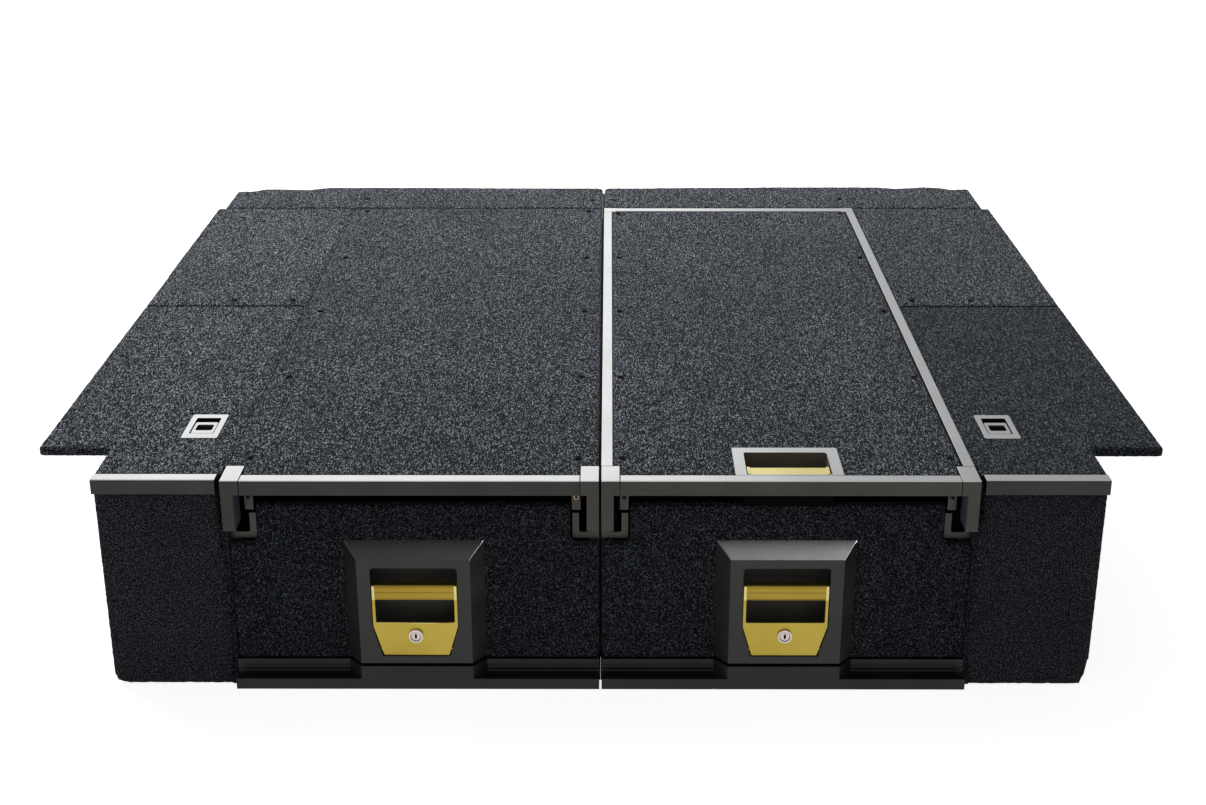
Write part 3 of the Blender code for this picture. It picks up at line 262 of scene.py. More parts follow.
# Screws and cups: dull black screws, a yellow passivated ring and a bronze cup; flat blacks painted as
# shade in hollows, slots, grooves, screw sockets and under the deck
phosphate_and_socket_shade = metal_material(
    "black_phosphated_steel_and_painted_socket_shade", "#08080a", 0.7, wear="#c0c0c0", metallic=0, shine=0.15)
copper = metal_material("yellow_passivated_steel", "#a68c76", 0.3, wear="#e6dcd0")
cup_bronze = metal_material(
    "bronze_chromated_zinc_cup", "#6c655b", 0.6, wear="#d8d0c6", metallic=0.2, grain=500, shine=0.2)
painted_shade_black = metal_material(
    "matt_black_painted_shade", "#090807", 0.8, wear="#d0d0d0", metallic=0, grain=500, shine=0.05)
# Black gap strips without any shine, painted as the shade in the gaps, and moulded plastic with a fine
# grain, rubbed shiny at its edges
gap_shade_black = plastic_material("matt_black_gap_strip_painted_shade", "#0c0c0c", 0.85, grain=700, depth=0.0006)
worn_plastic = plastic_material("moulded_black_abs_rubbed_smooth_edges", "#343432", 0.2)
housing_plastic = plastic_material("moulded_black_abs_fine_grained", "#2d2d2b", 0.3, shine=0.35)
# A paler copy of the plastic, painted as light on the back wall of the handle recess
lit_recess_plastic = plastic_material("moulded_abs_painted_light_in_recess", "#4e4e4b", 0.4, shine=0.2)
# The finish of each slot, for the nodes that keep their own mesh
FINISHES = {
    "carpeted_board": carpet, "tray_board": plywood, "rail_metal": black_coat, "steel": zinc,
    "sill_metal": sill_finish, "dark_trim": gunmetal, "bright_trim": satin_and_reflection_along,
    "moulded_housing": housing_plastic, "gold_anodised": gold, "nickel": nickel}


# Modelling, done as by hand: one piece is picked, then its faces, then an operator shapes them
def drop_selection():
    bpy.ops.object.select_all(action="DESELECT")


def only(piece):
    """Leaves this piece alone selected and active."""
    drop_selection()
    piece.select_set(True)
    bpy.context.view_layer.objects.active = piece


def edit(piece, operator, **settings):
    """Runs one edit-mode operator on what is picked."""
    only(piece)
    bpy.ops.object.mode_set(mode="EDIT")
    operator(**settings)
    bpy.ops.object.mode_set(mode="OBJECT")


def pick_faces(piece, test):
    """Picks the faces for which test(middle, normal) holds."""
    bpy.context.tool_settings.mesh_select_mode = (False, False, True)
    mesh = piece.data
    mesh.vertices.foreach_set("select", [False] * len(mesh.vertices))
    mesh.edges.foreach_set("select", [False] * len(mesh.edges))
    mesh.polygons.foreach_set("select", [bool(test(face.center, face.normal)) for face in mesh.polygons])


def pick_edges(piece, test):
    """Picks the edges for which test(one end, other end) holds."""
    bpy.context.tool_settings.mesh_select_mode = (False, True, False)
    mesh = piece.data
    ends = [[mesh.vertices[end].co for end in edge.vertices] for edge in mesh.edges]
    mesh.vertices.foreach_set("select", [False] * len(mesh.vertices))
    mesh.polygons.foreach_set("select", [False] * len(mesh.polygons))
    mesh.edges.foreach_set("select", [bool(test(first, second)) for first, second in ends])


def pick_all(piece):
    pick_faces(piece, lambda middle, normal: True)


def on_top(middle, normal):
    return normal.z > 0.7


def in_front(middle, normal):
    return normal.y < -0.7


def start_block(name, across, depths, heights):
    """A block with its two ends across, behind the front and above the floor."""
    low = place(min(across), depths[0], heights[0])
    high = place(max(across), depths[1], heights[1])
    drop_selection()
    bpy.ops.mesh.primitive_cube_add(size=1, location=(low + high) / 2, scale=high - low)
    return named(name)


def start_rod(name, start, end, radius, sides=32):
    """A round bar between two points on one axis."""
    drop_selection()
    run = end - start
    turn = Vector((0, 0, 1)).rotation_difference(run).to_euler()
    bpy.ops.mesh.primitive_cylinder_add(vertices=sides, radius=radius, depth=run.length,
                                        location=(start + end) / 2, rotation=turn)
    return named(name)


def named(name):
    """Names the new primitive and puts its place into its mesh."""
    piece = bpy.context.active_object
    piece.name = name
    piece.data.name = name
    bpy.ops.object.transform_apply(location=True, rotation=True, scale=True)
    return piece


def copied(node, name):
    """A copy of a CAD node's mesh as a new piece, merged and with its flat faces whole."""
    piece = bpy.data.objects.new(name, frame["nodes"][node].data.copy())
    bpy.context.scene.collection.objects.link(piece)
    piece.data.name = name
    piece.data.materials.clear()
    pick_all(piece)
    edit(piece, bpy.ops.mesh.remove_doubles, threshold=0.00002)
    pick_all(piece)
    edit(piece, bpy.ops.mesh.dissolve_limited, angle_limit=math.radians(0.6))
    return piece


def modify(piece, kind, **settings):
    """Adds one modifier and applies it."""
    only(piece)
    made = piece.modifiers.new(kind.title(), kind)
    for name, value in settings.items():
        setattr(made, name, value)
    bpy.ops.object.modifier_apply(modifier=made.name)


def round_edges(piece, width=FINE_EDGE, segments=2, steepest=40):
    modify(piece, "BEVEL", width=width, segments=segments, limit_method="ANGLE",
           angle_limit=math.radians(steepest), use_clamp_overlap=True)


def smooth(piece, angle=35):
    """Smooths the rounded edges and keeps the flat faces flat."""
    only(piece)
    bpy.ops.object.shade_smooth_by_angle(angle=math.radians(angle))
    modify(piece, "WEIGHTED_NORMAL", keep_sharp=True)


def touch_up(piece, material, test):
    """Gives one more material to the faces for which test(middle, normal) holds."""
    piece.data.materials.append(material)
    last = len(piece.data.materials) - 1
    for face in piece.data.polygons:
        if test(face.center, face.normal):
            face.material_index = last


def paint(piece, material, second=None, test=None):
    """Gives the piece its material, and a second one to the faces for which test(middle, normal) holds."""
    piece.data.materials.clear()
    piece.data.materials.append(material)
    if second:
        touch_up(piece, second, test)


def mount(piece, body, slot, *nodes):
    """Puts the piece on its body and hides the CAD nodes that it stands for; its slot of the record is not
    used.
    """
    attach(piece, body)
    if nodes:
        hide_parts(*nodes)


def doubled(piece, name, shift):
    """A copy of a finished piece with its own mesh, moved by shift."""
    twin = bpy.data.objects.new(name, piece.data.copy())
    bpy.context.scene.collection.objects.link(twin)
    twin.data.name = name
    twin.data.transform(Matrix.Translation(Vector(shift)))
    return twin


# CAD nodes that keep their mesh take the finish of their slot
for subpart in frame["record"]["subparts"]:
    cad_node = frame["nodes"][subpart["node"]]
    cad_node.data.materials.clear()
    cad_node.data.materials.append(FINISHES[subpart["material_slot"]])

# Rows of screws: their body, and their place across and behind the front
ROW_DEPTHS = (0.078, 0.385, 0.695, 1.0)
LAST_ROWS = {"left": 1.3175, "right": 1.302}
screw_places = []
for side, sign in SIDES.items():
    screw_places += [(MODULE_BODIES[side], sign * across, depth)
                     for across in (0.4725, 0.0295) for depth in ROW_DEPTHS + (LAST_ROWS[side],)]
    screw_places += [("base", sign * 0.528, 0.752), ("base", sign * 0.628, 0.752)]
    screw_places += [("base", sign * 0.0222, 1.4025), ("base", sign * 0.485, 1.411)]


# How far the pile is pressed down round a screw, and how far it lies over a trim
DIMPLE_RADIUS = 0.0095
DIMPLE_DEPTH = 0.0022
FRINGE_REACH = 0.0028
FRINGE_LIFT = 0.0006


def dimple(board):
    """Presses the pile down round each screw."""
    spots = np.empty(len(board.data.vertices) * 3)
    board.data.vertices.foreach_get("co", spots)
    spots = spots.reshape(-1, 3)
    for _, across, depth in screw_places:
        reach = np.hypot(spots[:, 0] - across, spots[:, 1] - FRONT - depth)
        pressed = (spots[:, 2] > DECK_TOP - 0.004) & (reach < DIMPLE_RADIUS)
        spots[pressed, 2] -= DIMPLE_DEPTH * (1 - reach[pressed] / DIMPLE_RADIUS)
    board.data.vertices.foreach_set("co", spots.ravel())


def fringe(board, edge_depth, chance):
    """Lays the pile of a board's front edge over the trim, unevenly."""
    spots = np.empty(len(board.data.vertices) * 3)
    board.data.vertices.foreach_get("co", spots)
    spots = spots.reshape(-1, 3)
    loose = (spots[:, 2] > DECK_TOP - 0.003) & (spots[:, 1] < FRONT + edge_depth + 0.0035)
    spots[loose, 1] -= FRINGE_REACH * chance.uniform(0.7, 1.25, loose.sum())
    spots[loose, 2] += FRINGE_LIFT
    board.data.vertices.foreach_set("co", spots.ravel())


# Carpeted boards: each is remeshed so that the pile lies over its faces and rounds its edges
CARPET_CELL = 0.0045
PILE_HEIGHT = 0.0016
chance = np.random.default_rng(7)
pile_texture = bpy.data.textures.new("carpet_pile", "CLOUDS")
pile_texture.noise_scale = 0.005
pile_texture.noise_depth = 2
CARPETED = {
    "fixed_deck": "base", "table_deck": "table", "drawer_front_left": "left_drawer",
    "drawer_front_right": "right_drawer", "wing_front_left": "base", "wing_front_right": "base",
    "wing_lid_left": "left_lid", "wing_lid_right": "right_lid", "wing_rear_top_left": "base",
    "wing_rear_top_right": "base", "rear_infill_left": "base", "rear_infill_right": "base",
    "back_panel_left": "base", "back_panel_right": "base"}
# Boards whose carpet is a copy painted lighter or darker, as painted light and shade
BOARD_LIGHT_AND_SHADE = {"wing_lid_left": lit_carpet, "wing_rear_top_left": lit_carpet, "wing_lid_right": shaded_carpet,
        "wing_front_left": front_shade_carpet, "wing_front_right": front_shade_carpet,
        "drawer_front_left": deep_shade_carpet, "drawer_front_right": deep_shade_carpet}
# Depth of the front edge of each board whose pile lies over the trim in front of it
FRINGES = {"fixed_deck": 0.0208, "table_deck": 0.0208, "wing_lid_left": 0.0244, "wing_lid_right": 0.0244}
# The seam where the lids meet the rear panels, and how far round it the carpet is painted darker as the
# shade in the seam
LID_SEAM = 0.7228
SEAM_REACH = 0.0036
SEAM_FLOOR = DECK_TOP - 0.012


def on_lid_seam(middle, normal):
    return abs(middle.y - FRONT - LID_SEAM) < SEAM_REACH and middle.z > SEAM_FLOOR


for board_node, board_body in CARPETED.items():
    board = copied(board_node, "carpet_" + board_node)
    modify(board, "REMESH", mode="VOXEL", voxel_size=CARPET_CELL, adaptivity=0)
    modify(board, "DISPLACE", texture=pile_texture, texture_coords="LOCAL", strength=PILE_HEIGHT,
           mid_level=0.62)
    dimple(board)
    if board_node in FRINGES:
        fringe(board, FRINGES[board_node], chance)
    only(board)
    bpy.ops.object.shade_smooth()
    paint(board, BOARD_LIGHT_AND_SHADE.get(board_node, carpet))
    # Painted shade: the carpet close to the lid seam is darkened as the seam's shadow
    if board_node.startswith(("wing_lid", "wing_rear")):
        touch_up(board, seam_shade_carpet, on_lid_seam)
    mount(board, board_body, "carpeted_board", board_node)


# Metal and moulded pieces: each is a copy of its node with its edges broken
def refined(node, body, slot, material, width=FINE_EDGE, segments=2, second=None, test=None):
    piece = copied(node, "finished_" + node)
    round_edges(piece, width, segments)
    smooth(piece)
    paint(piece, material, second, test)
    mount(piece, body, slot, node)
    return piece


def on_deck_level(middle, normal):
    return on_top(middle, normal) and middle.z > TOP_FACES


def in_channel(middle, normal):
    """The runner's tongue, in the shade of its rail, where that shade is painted black."""
    return middle.z < 0.257 or (middle.y > FRONT + 0.045 and normal.y < -0.5)


# Trims and their end caps, some in a darker copy of the gunmetal that is painted shade, with their top
# faces in satin silver as a painted reflection
TRIM_EDGE = 0.0007
CAP_FLANK_TOP = 0.291
for node, body, batch in (
        ("fixed_deck_trim", "base", shaded_gunmetal), ("table_trim", "table", gunmetal),
        ("wing_trim_left", "base", shaded_gunmetal), ("wing_trim_right", "base", shaded_gunmetal)):
    refined(node, body, "dark_trim", batch, TRIM_EDGE, 2, satin_and_reflection_across, on_deck_level)
for node, body, batch in (
        ("fixed_deck_cap_inner", "base", gunmetal), ("fixed_deck_cap_outer", "base", shaded_gunmetal),
        ("table_cap_inner", "table", gunmetal), ("table_cap_outer", "table", gunmetal)):
    cap = refined(node, body, "dark_trim", batch, TRIM_EDGE, 2, satin_and_reflection_along, on_deck_level)
    # Painted light: the lower flanks of each cap's legs get the paler grey
    touch_up(cap, lit_cap_flank, lambda middle, normal: abs(normal.x) > 0.7 and middle.z < CAP_FLANK_TOP)

# Edging of the table, drawn back a little from its front caps; its inner and rear runs are painted paler,
# as a painted highlight
EDGING_START = 0.0516
EDGING_SETBACK = 0.0009
edging = refined("table_edging", "table", "bright_trim", satin_and_reflection_along)
for vertex in edging.data.vertices:
    if vertex.co.y < FRONT + EDGING_START:
        vertex.co.y += EDGING_SETBACK
touch_up(edging, highlight_aluminium, lambda middle, normal: middle.x < 0.03 or middle.y > FRONT + 1.3)


# The table's pocket, with rounded corners at the back of its cup
POCKET_HALF = 0.0565
POCKET_BACK = 0.0967


def on_pocket_corner(spot):
    off_corner = abs(abs(spot.x - MODULE_MIDDLE) - POCKET_HALF), abs(spot.y - FRONT - POCKET_BACK)
    return max(off_corner) < 0.0004


def in_cup(middle, normal):
    return (abs(middle.x - MODULE_MIDDLE) < POCKET_HALF + 0.0003
            and 0.0235 < middle.y - FRONT < 0.097 and 0.2695 < middle.z < 0.3105)


pocket = copied("table_handle_pocket", "finished_table_handle_pocket")
pick_edges(pocket, lambda first, second: on_pocket_corner((first + second) / 2)
           and abs((second - first).normalized().z) > 0.99)
edit(pocket, bpy.ops.mesh.bevel, offset=0.004, segments=5)
round_edges(pocket)
smooth(pocket)
# Painted shade: the pocket's body under the deck is matt black, apart from its top and its cup
paint(pocket, painted_shade_black, satin_and_reflection_across, on_deck_level)
touch_up(pocket, cup_bronze, in_cup)
mount(pocket, "table", "bright_trim", "table_handle_pocket")
# The table's grip in the paler gold, as its painted highlight
refined("table_handle", "table_grip", "gold_anodised", pale_gold_highlight, 0.0012, 3)


# Handle housings of the drawers: bevelled frames round a window with rounded upper corners
WINDOW_HALF = 0.0585
WINDOW_TOP = 0.184
WINDOW_CORNER_REACH = 0.0028
WINDOW_CORNER_GROWTH = 1.7
RECESS_DEPTH = 0.03
# The ways that its flat faces look: what looks elsewhere is a rounded edge
HOUSING_FACES = [Vector(normal).normalized() for normal in (
    (0, -1, 0), (0, 1, 0), (0, 0, -1), (0, 0, 1), (1, 0, 0), (-1, 0, 0),
    (0.78, -0.624, 0), (-0.78, -0.624, 0), (0, -0.624, 0.78))]


def on_housing_edge(middle, normal):
    return middle.y < FRONT + 0.026 and all(normal.dot(face) < 0.996 for face in HOUSING_FACES)


def finished_housing(side, module):
    """A housing with the corners of its window cut wider, its edges rounded and rubbed smooth, and the back
    of its recess painted paler as light.
    """
    housing = copied(f"handle_housing_{side}", f"finished_handle_housing_{side}")
    for vertex in housing.data.vertices:
        across = math.copysign(WINDOW_HALF, vertex.co.x - module)
        corner = Vector((module + across, vertex.co.y, WINDOW_TOP))
        if (vertex.co - corner).length < WINDOW_CORNER_REACH and vertex.co.y < FRONT + 0.0062:
            vertex.co = corner + WINDOW_CORNER_GROWTH * (vertex.co - corner)
    pick_edges(housing, lambda first, second: abs(first.y - second.y) > 0.02
               and min(first.z, second.z) > 0.19)
    edit(housing, bpy.ops.mesh.bevel, offset=0.0008, segments=1)
    round_edges(housing, 0.0009, 3)
    smooth(housing, 30)
    paint(housing, housing_plastic, worn_plastic, on_housing_edge)
    # Painted light: the back wall of the recess gets the paler plastic
    touch_up(housing, lit_recess_plastic, lambda middle, normal: normal.y < -0.9
             and middle.y > FRONT + RECESS_DEPTH and abs(middle.x - module) < WINDOW_HALF + 0.006)
    mount(housing, f"{side}_drawer", "moulded_housing", f"handle_housing_{side}")
    return housing


# Drawer handles: the plate's top edge is rounded and painted paler as a highlight, and the lock sits in the
# plate
PLATE_TOP = 0.1005
PLATE_FACE = 0.005
LOCK_HEIGHT = 0.081
HANDLE_FOOT_TOP = 0.08
HANDLE_FOOT_SHARE = 0.984


def finished_handle(side, module):
    def on_plate_top(end):
        return abs(end.z - PLATE_TOP) + abs(end.y - FRONT - PLATE_FACE) < 0.0004

    handle = copied(f"drawer_handle_{side}", f"finished_drawer_handle_{side}")
    pick_edges(handle, lambda first, second: abs(first.x - second.x) > 0.08
               and on_plate_top(first) and on_plate_top(second))
    edit(handle, bpy.ops.mesh.bevel, offset=0.0014, segments=3)
    round_edges(handle, 0.0006)
    smooth(handle)
    # The tapered foot is drawn in by under 1 mm, to stay clear of the window as the handle tips
    for vertex in handle.data.vertices:
        if vertex.co.z < HANDLE_FOOT_TOP and abs(vertex.co.x - module) > 0.03:
            vertex.co.x = module + HANDLE_FOOT_SHARE * (vertex.co.x - module)
    paint(handle, gold)
    # Painted highlight on the rounded top edge of the plate
    touch_up(handle, pale_gold_highlight, lambda middle, normal: normal.z > 0.2
             and abs(middle.z - PLATE_TOP) < 0.0016 and middle.y < FRONT + 0.0068)
    mount(handle, f"{side}_handle", "gold_anodised", f"drawer_handle_{side}")


def in_keyway(middle, module):
    off_axis = math.hypot(middle.x - module, middle.z - LOCK_HEIGHT)
    return off_axis < 0.0045 and middle.y > FRONT + 0.0024


housings = []
for side, sign in SIDES.items():
    module = sign * MODULE_MIDDLE
    # The ring bezel is painted black below its top, as the shade in its finger cup
    refined(f"ring_bezel_{side}", f"{side}_lid", "bright_trim", painted_shade_black, 0.0004, 2, satin_and_reflection_across,
            on_deck_level)
    refined(f"ring_pull_{side}", f"{side}_ring", "steel", satin_and_reflection_across, 0.0006)
    housings.append(finished_housing(side, module))
    finished_handle(side, module)
    # Painted shade in the key slot of the lock
    refined(f"key_lock_{side}", f"{side}_lock", "nickel", nickel, FINE_EDGE, 3, painted_shade_black,
            lambda middle, normal: in_keyway(middle, module))
    refined(f"sill_{side}", "base", "sill_metal", sill_finish)
    refined(f"sill_block_{side}", "base", "sill_metal", sill_finish, 0.0007)
    for edge in WALL_FACES:
        refined(f"channel_rail_{side}_{edge}", "base", "rail_metal", gunmetal)


# Strips that close the gaps beside and between the modules: the black ones are painted as the shade in the
# gaps, and those beside the wings take the darkest carpet copy as painted shade
GAP_STRIP_HALF = 0.0014
WING_EDGE = 0.5002


def gap_strip(name, across, depths, heights, material=gap_shade_black):
    strip = start_block(name, across, depths, heights)
    pick_faces(strip, on_top)
    edit(strip, bpy.ops.mesh.inset, thickness=0.0004)
    edit(strip, bpy.ops.transform.translate, value=(0, 0, 0.0008))
    smooth(strip)
    paint(strip, material)
    mount(strip, "base", "carpeted_board")


def pile_seam(name, across, material):
    """The pile that closes the long seam between a deck and its wing."""
    seam = start_block(name, across, (0.0515, 1.336), (0.297, 0.3112))
    pick_edges(seam, lambda first, second: abs(first.y - second.y) > 1 and first.z > 0.31)
    edit(seam, bpy.ops.mesh.bevel, offset=0.0012, segments=3)
    smooth(seam, 60)
    paint(seam, material)
    mount(seam, "base", "carpeted_board")


gap_strip("module_gap_strip", (-GAP_STRIP_HALF, GAP_STRIP_HALF), (0.05, 1.3395), (0.022, 0.3))
gap_strip("infill_gap_strip", (-GAP_STRIP_HALF, GAP_STRIP_HALF), (1.3398, 1.466), (0.28, 0.309))
for side, sign in SIDES.items():
    beside = sign * WING_EDGE, sign * 0.5068
    gap_strip(f"wing_gap_strip_{side}", beside, (0.0225, 0.05), (0.0005, 0.2895), deep_shade_carpet)
    gap_strip(f"wing_foot_{side}", (sign * WING_EDGE, sign * 0.5078), (0.0142, 0.0224), (0.0004, 0.011),
               deep_shade_carpet)
    gap_strip(f"rear_gap_strip_{side}", (sign * 0.0017, sign * 0.7625), (1.3345, 1.3445), (0.284, 0.3085))
    gap_strip(f"wing_top_gap_strip_{side}", beside, (0.05, 1.334), (0.283, 0.2965))
    gap_strip(f"lid_gap_strip_{side}", (sign * 0.507, sign * 0.765), (0.711, 0.7345), (0.291, 0.2958))
    pile_seam(f"seam_pile_{side}", (sign * 0.5006, sign * 0.504),
              lit_carpet if side == "left" else shaded_carpet)


# Screws: one black dished head, copied to each row
SCREW_RADIUS = 0.0049
SCREW_SINK = -0.003
SCREW_RISE = 0.0004


def dished_screw():
    head = start_rod("deck_screw", place(0, 0, SCREW_SINK), place(0, 0, SCREW_RISE), SCREW_RADIUS, 20)
    pick_faces(head, on_top)
    edit(head, bpy.ops.mesh.inset, thickness=0.0013)
    edit(head, bpy.ops.transform.translate, value=(0, 0, -0.0007))
    edit(head, bpy.ops.mesh.inset, thickness=0.0008)
    edit(head, bpy.ops.mesh.extrude_region_move, TRANSFORM_OT_translate={"value": (0, 0, -0.0012)})
    smooth(head)
    paint(head, phosphate_and_socket_shade)
    return head


screw = dished_screw()
for number, (body, across, depth) in enumerate(screw_places, 1):
    twin = doubled(screw, f"deck_screw_{number:02d}", (across, depth, DECK_TOP))
    mount(twin, body, "steel")
bpy.data.objects.remove(screw)


# Cleat bars of the fixed deck and runners of the table, with a screw in the front end of each
RAIL_BAR = (0.0245, 0.0365)
END_SCREW_HEIGHT = 0.2775
END_SCREW_DEPTHS = (0.0272, 0.0302)
END_SCREW_RADIUS = 0.0034
END_SCREW_SOCKET = 0.0021


def end_screw(name, across, body, ring):
    first, last = (place(across, depth, END_SCREW_HEIGHT) for depth in END_SCREW_DEPTHS)
    head = start_rod(name, first, last, END_SCREW_RADIUS, 24)
    pick_faces(head, in_front)
    edit(head, bpy.ops.mesh.inset, thickness=0.0012)
    edit(head, bpy.ops.mesh.extrude_region_move, TRANSFORM_OT_translate={"value": (0, 0.0012, 0)})
    smooth(head)
    # Painted shade: the floor of the socket is black
    paint(head, ring, phosphate_and_socket_shade, lambda middle, normal: math.hypot(
        middle.x - across, middle.z - END_SCREW_HEIGHT) < END_SCREW_SOCKET)
    mount(head, body, "steel")


def fixed_cleat(edge, across):
    bar = start_block(f"fixed_cleat_{edge}", across, (0.03, 1.3), (0.258, 0.2977))
    pick_edges(bar, lambda first, second: abs(first.y - second.y) > 1 and first.z < 0.27)
    edit(bar, bpy.ops.mesh.bevel, offset=0.0012, segments=3)
    round_edges(bar, 0.0004)
    smooth(bar)
    paint(bar, gunmetal)
    mount(bar, "base", "rail_metal")


for side, sign in SIDES.items():
    for edge, wall in WALL_FACES.items():
        across = sorted(sign * wall + sign * INWARD[edge] * reach for reach in RAIL_BAR)
        if side == "left":
            fixed_cleat(edge, across)
        else:
            refined(f"table_runner_{edge}", "table", "rail_metal", gunmetal, 0.0004, 2, painted_shade_black,
                    in_channel)
        ring = copper if (side, edge) == ("left", "inner") else black_coat
        end_screw(f"end_screw_{side}_{edge}", sum(across) / 2, MODULE_BODIES[side], ring)


# Corner plates over the rear corners of the table's edging
CORNER_PLATE = 0.0235
for edge, wall in WALL_FACES.items():
    plate = start_block(f"edging_corner_{edge}", (wall, wall + INWARD[edge] * CORNER_PLATE),
                        (1.312, 1.338), (0.3, DECK_TOP + 0.0005))
    pick_faces(plate, on_top)
    edit(plate, bpy.ops.mesh.bevel, offset=0.0006, segments=2)
    smooth(plate)
    paint(plate, satin_and_reflection_along)
    mount(plate, "table", "bright_trim")


# Small pieces of the handles: ribbed strip on the grip bar, pale end caps, proud arms and lock rings
LOCK_FACE = 0.0022
LOCK_RADIUS = 0.0098
LOCK_PLUG = 0.0071
GRIP_HALF = 0.0534
GRIP_FOOT = 0.1362
GROOVES = ((0.1372, 0.138), (0.1467, 0.1475), (0.1541, 0.1547))


def grip_strip(side, module):
    strip = start_block(f"grip_strip_{side}", (module - GRIP_HALF, module + GRIP_HALF), (0.0037, 0.0056),
                        (GRIP_FOOT, 0.1566))
    for groove in GROOVES:
        for height in groove:
            pick_all(strip)
            edit(strip, bpy.ops.mesh.bisect, plane_co=(0, 0, height), plane_no=(0, 0, 1))
    pick_faces(strip, lambda middle, normal: in_front(middle, normal)
               and any(low < middle.z < high for low, high in GROOVES))
    edit(strip, bpy.ops.mesh.extrude_region_move, TRANSFORM_OT_translate={"value": (0, 0.0009, 0)})
    round_edges(strip, 0.0002)
    smooth(strip)
    paint(strip, deep_gold)
    mount(strip, f"{side}_handle", "gold_anodised")


def grip_end(side, module, end, hand):
    cap = start_block(f"grip_end_{side}_{end}", (module + hand * 0.0533, module + hand * 0.0574),
                      (0.0028, 0.0064), (0.1356, 0.1574))
    pick_edges(cap, lambda first, second: abs(first.y - second.y) > 0.002)
    edit(cap, bpy.ops.mesh.bevel, offset=0.002, segments=6)
    round_edges(cap, 0.0007, 3)
    smooth(cap)
    paint(cap, pale_gold_highlight)
    mount(cap, f"{side}_handle", "gold_anodised")


def arm_edge(side, module, end, hand):
    """Proud edge of one arm, cut off at a slant where it meets the plate."""
    arm = start_block(f"handle_arm_{side}_{end}", (module + hand * 0.0537, module + hand * 0.0573),
                      (0.0038, 0.0052), (0.0945, GRIP_FOOT))
    pick_edges(arm, lambda first, second: first.z < 0.1 and second.z < 0.1
               and abs(first.x - second.x) < 0.0001 and (first.x - module) * hand < 0.055)
    edit(arm, bpy.ops.transform.translate, value=(0, 0, 0.0075))
    round_edges(arm, 0.0003)
    smooth(arm)
    paint(arm, gold)
    mount(arm, f"{side}_handle", "gold_anodised")


def table_grip_end(end, hand):
    """Raised pale cap on one end of the table's grip."""
    cap = start_block(f"table_grip_end_{end}",
                      (MODULE_MIDDLE + hand * 0.0506, MODULE_MIDDLE + hand * 0.0549),
                      (0.0305, 0.0536), (0.3005, 0.3111))
    pick_edges(cap, lambda first, second: abs(first.x - second.x) > 0.003 and first.y > FRONT + 0.05)
    edit(cap, bpy.ops.mesh.bevel, offset=0.0015, segments=3)
    round_edges(cap, 0.0005)
    smooth(cap)
    paint(cap, pale_gold_highlight)
    mount(cap, "table_grip", "gold_anodised")


def lock_ring(side, module):
    """Raised rim of the lock, with the groove round its plug painted black as shade."""
    face = LOCK_FACE - 0.0007
    first, last = (place(module, depth, LOCK_HEIGHT) for depth in (face, LOCK_FACE + 0.001))
    rim = start_rod(f"lock_ring_{side}", first, last, LOCK_RADIUS, 40)
    pick_faces(rim, in_front)
    edit(rim, bpy.ops.mesh.inset, thickness=0.0006)
    edit(rim, bpy.ops.transform.translate, value=(0, -0.0003, 0))
    edit(rim, bpy.ops.mesh.inset, thickness=0.002)
    edit(rim, bpy.ops.mesh.inset, thickness=0.0003)
    edit(rim, bpy.ops.transform.translate, value=(0, 0.00085, 0))
    edit(rim, bpy.ops.mesh.inset, thickness=0.0005)
    edit(rim, bpy.ops.mesh.extrude_region_move, TRANSFORM_OT_translate={"value": (0, 0.0006, 0)})
    smooth(rim)
    paint(rim, nickel, painted_shade_black, lambda middle, normal: middle.y > FRONT + face - 0.0001
          and math.hypot(middle.x - module, middle.z - LOCK_HEIGHT) < LOCK_PLUG)
    mount(rim, f"{side}_lock", "nickel")


def keyway(side, module):
    """Black piece round the key slot, in the middle of the lock's face: painted shade for the depth of the
    slot.
    """
    slot_shade = start_block(f"keyway_{side}", (module - 0.0016, module + 0.0016), (0.0019, 0.0024),
                          (0.0784, 0.0838))
    pick_edges(slot_shade, lambda first, second: abs(first.y - second.y) > 0.0003)
    edit(slot_shade, bpy.ops.mesh.bevel, offset=0.0014, segments=4)
    pick_faces(slot_shade, in_front)
    edit(slot_shade, bpy.ops.mesh.inset, thickness=0.0005)
    edit(slot_shade, bpy.ops.mesh.extrude_region_move, TRANSFORM_OT_translate={"value": (0, 0.0003, 0)})
    smooth(slot_shade)
    paint(slot_shade, painted_shade_black)
    mount(slot_shade, f"{side}_lock", "steel")


for end, hand in SIDES.items():
    table_grip_end(end, hand)
for side, sign in SIDES.items():
    module = sign * MODULE_MIDDLE
    keyway(side, module)
    lock_ring(side, module)
    grip_strip(side, module)
    for end, hand in SIDES.items():
        grip_end(side, module, end, hand)
        arm_edge(side, module, end, hand)

# Camera: lens in mm, place in metres and turns in degrees, as fitted to the photograph's straight edges
LENS = 52.595
CAMERA_PLACE = (0.0121, -2.8604, 1.2624)
CAMERA_TURNS = (68.296, 0.04, 0.207)
camera_data = bpy.data.cameras.new("camera")
camera_data.lens = LENS
camera_data.sensor_width = 36
camera_data.sensor_fit = "HORIZONTAL"
camera = bpy.data.objects.new("camera", camera_data)
camera.location = CAMERA_PLACE
camera.rotation_euler = [math.radians(turn) for turn in CAMERA_TURNS]
bpy.context.scene.collection.objects.link(camera)
bpy.context.scene.camera = camera


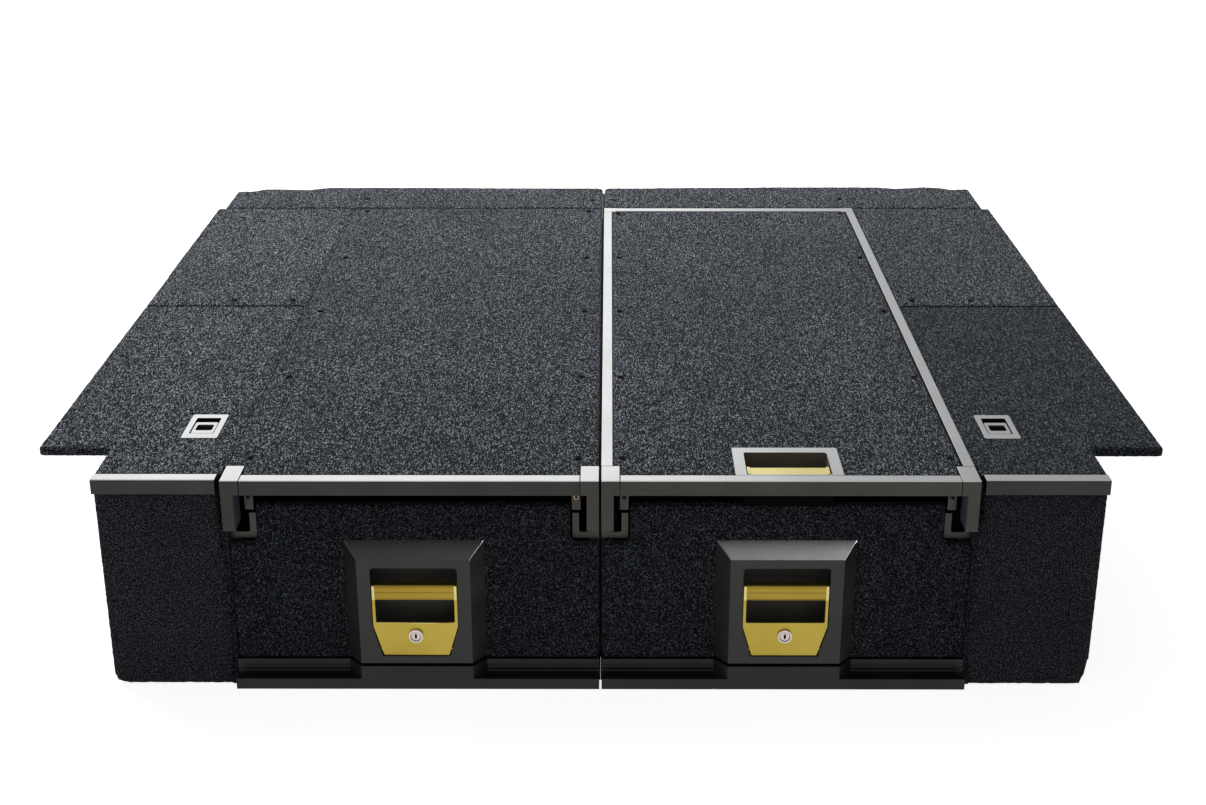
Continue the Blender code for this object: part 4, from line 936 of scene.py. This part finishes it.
# Lamps: their size in metres and power in watts
def lamp(name, location, target, size, power, tint="#ffffff", mirrored=True, shines_on=()):
    """A soft square lamp that faces its target.

    It may be left out of reflections, or be seen only in the gloss of the pieces that it shines on.
    """
    data = bpy.data.lights.new(name, "AREA")
    data.size = size
    data.energy = power
    data.color = colour(tint)[:3]
    light = bpy.data.objects.new(name, data)
    light.location = location
    light.rotation_euler = (Vector(target) - Vector(location)).to_track_quat("-Z", "Y").to_euler()
    light.visible_glossy = mirrored
    if shines_on:
        light.visible_diffuse = False
        light.light_linking.receiver_collection = bpy.data.collections.new(name)
        for piece in shines_on:
            light.light_linking.receiver_collection.objects.link(piece)
    bpy.context.scene.collection.objects.link(light)


lamp("soft_top", (-1.5, 1.3, 2.7), (0, 0, 0.3), 2.2, 92, mirrored=False)
lamp("rear_left", (-0.85, 2.9, 1.95), (-0.1, 0, 0.3), 2.8, 21, "#fffefc")
lamp("rear_wash", (0.5, 1.85, 1.2), (0.2, 0.5, 0.3), 1.2, 12, mirrored=False)
# Seen only in gloss: one lights the slopes of the right housing, the other the right ridges of both
lamp("slope_glow", (0.78, -1.26, 2.32), (0.25, -0.745, 0.205), 1.1, 40, shines_on=housings)
lamp("ridge_glow", (2.88, -2.08, 1.41), (0.1, -0.74, 0.2), 1.1, 150, shines_on=housings)

# World: white to the camera, and in gloss a white wall that falls off to the right
world = bpy.data.worlds.new("studio")
bpy.context.scene.world = world
world.use_nodes = True
sky = world.node_tree
sky.nodes.clear()
ray = add_node(sky, "LightPath")
heading = add_node(sky, "SeparateXYZ", links={"Vector": add_node(sky, "TexCoord").outputs["Generated"]})
falling = add_node(sky, "MapRange", links={"Value": heading.outputs["X"]},
                   inputs={"From Min": 0.06, "From Max": 0.32, "To Min": 1, "To Max": 0.35})
mirrored = add_node(sky, "Math", operation="MULTIPLY",
                    links={0: ray.outputs["Is Glossy Ray"], 1: falling.outputs["Result"]})
seen = add_node(sky, "Math", operation="MAXIMUM",
                links={0: ray.outputs["Is Camera Ray"], 1: mirrored.outputs[0]})
through = add_node(sky, "Math", operation="MAXIMUM",
                   links={0: seen.outputs[0], 1: ray.outputs["Is Transmission Ray"]})
level = add_node(sky, "MapRange", inputs={"To Min": 0.3, "To Max": 1.0},
                 links={"Value": through.outputs[0]})
glow = add_node(sky, "Background", inputs={"Color": colour("#ffffff")},
                links={"Strength": level.outputs["Result"]})
add_node(sky, "OutputWorld", links={"Surface": glow.outputs["Background"]})

# Floor: white paper that keeps the object's shadow
drop_selection()
bpy.ops.mesh.primitive_plane_add(size=40, location=(0, 0, -0.0005))
floor = named("studio_floor")
paper, paper_tree, paper_surface, _ = start_material("matt_white_paper", Roughness=0.9)
paper_surface.inputs["Base Color"].default_value = colour("#b4b4b4")
paper_surface.inputs["Emission Color"].default_value = colour("#ffffff")
paper_ray = add_node(paper_tree, "LightPath")
paper_seen = add_node(paper_tree, "Math", operation="MAXIMUM",
                      links={0: paper_ray.outputs["Is Camera Ray"], 1: paper_ray.outputs["Is Glossy Ray"]})
paper_lift = add_node(paper_tree, "MapRange", inputs={"To Min": 0, "To Max": 0.87},
                      links={"Value": paper_seen.outputs[0]})
paper_tree.links.new(paper_lift.outputs["Result"], paper_surface.inputs["Emission Strength"])
floor.data.materials.append(paper)

bpy.context.scene.view_settings.view_transform = "Standard"
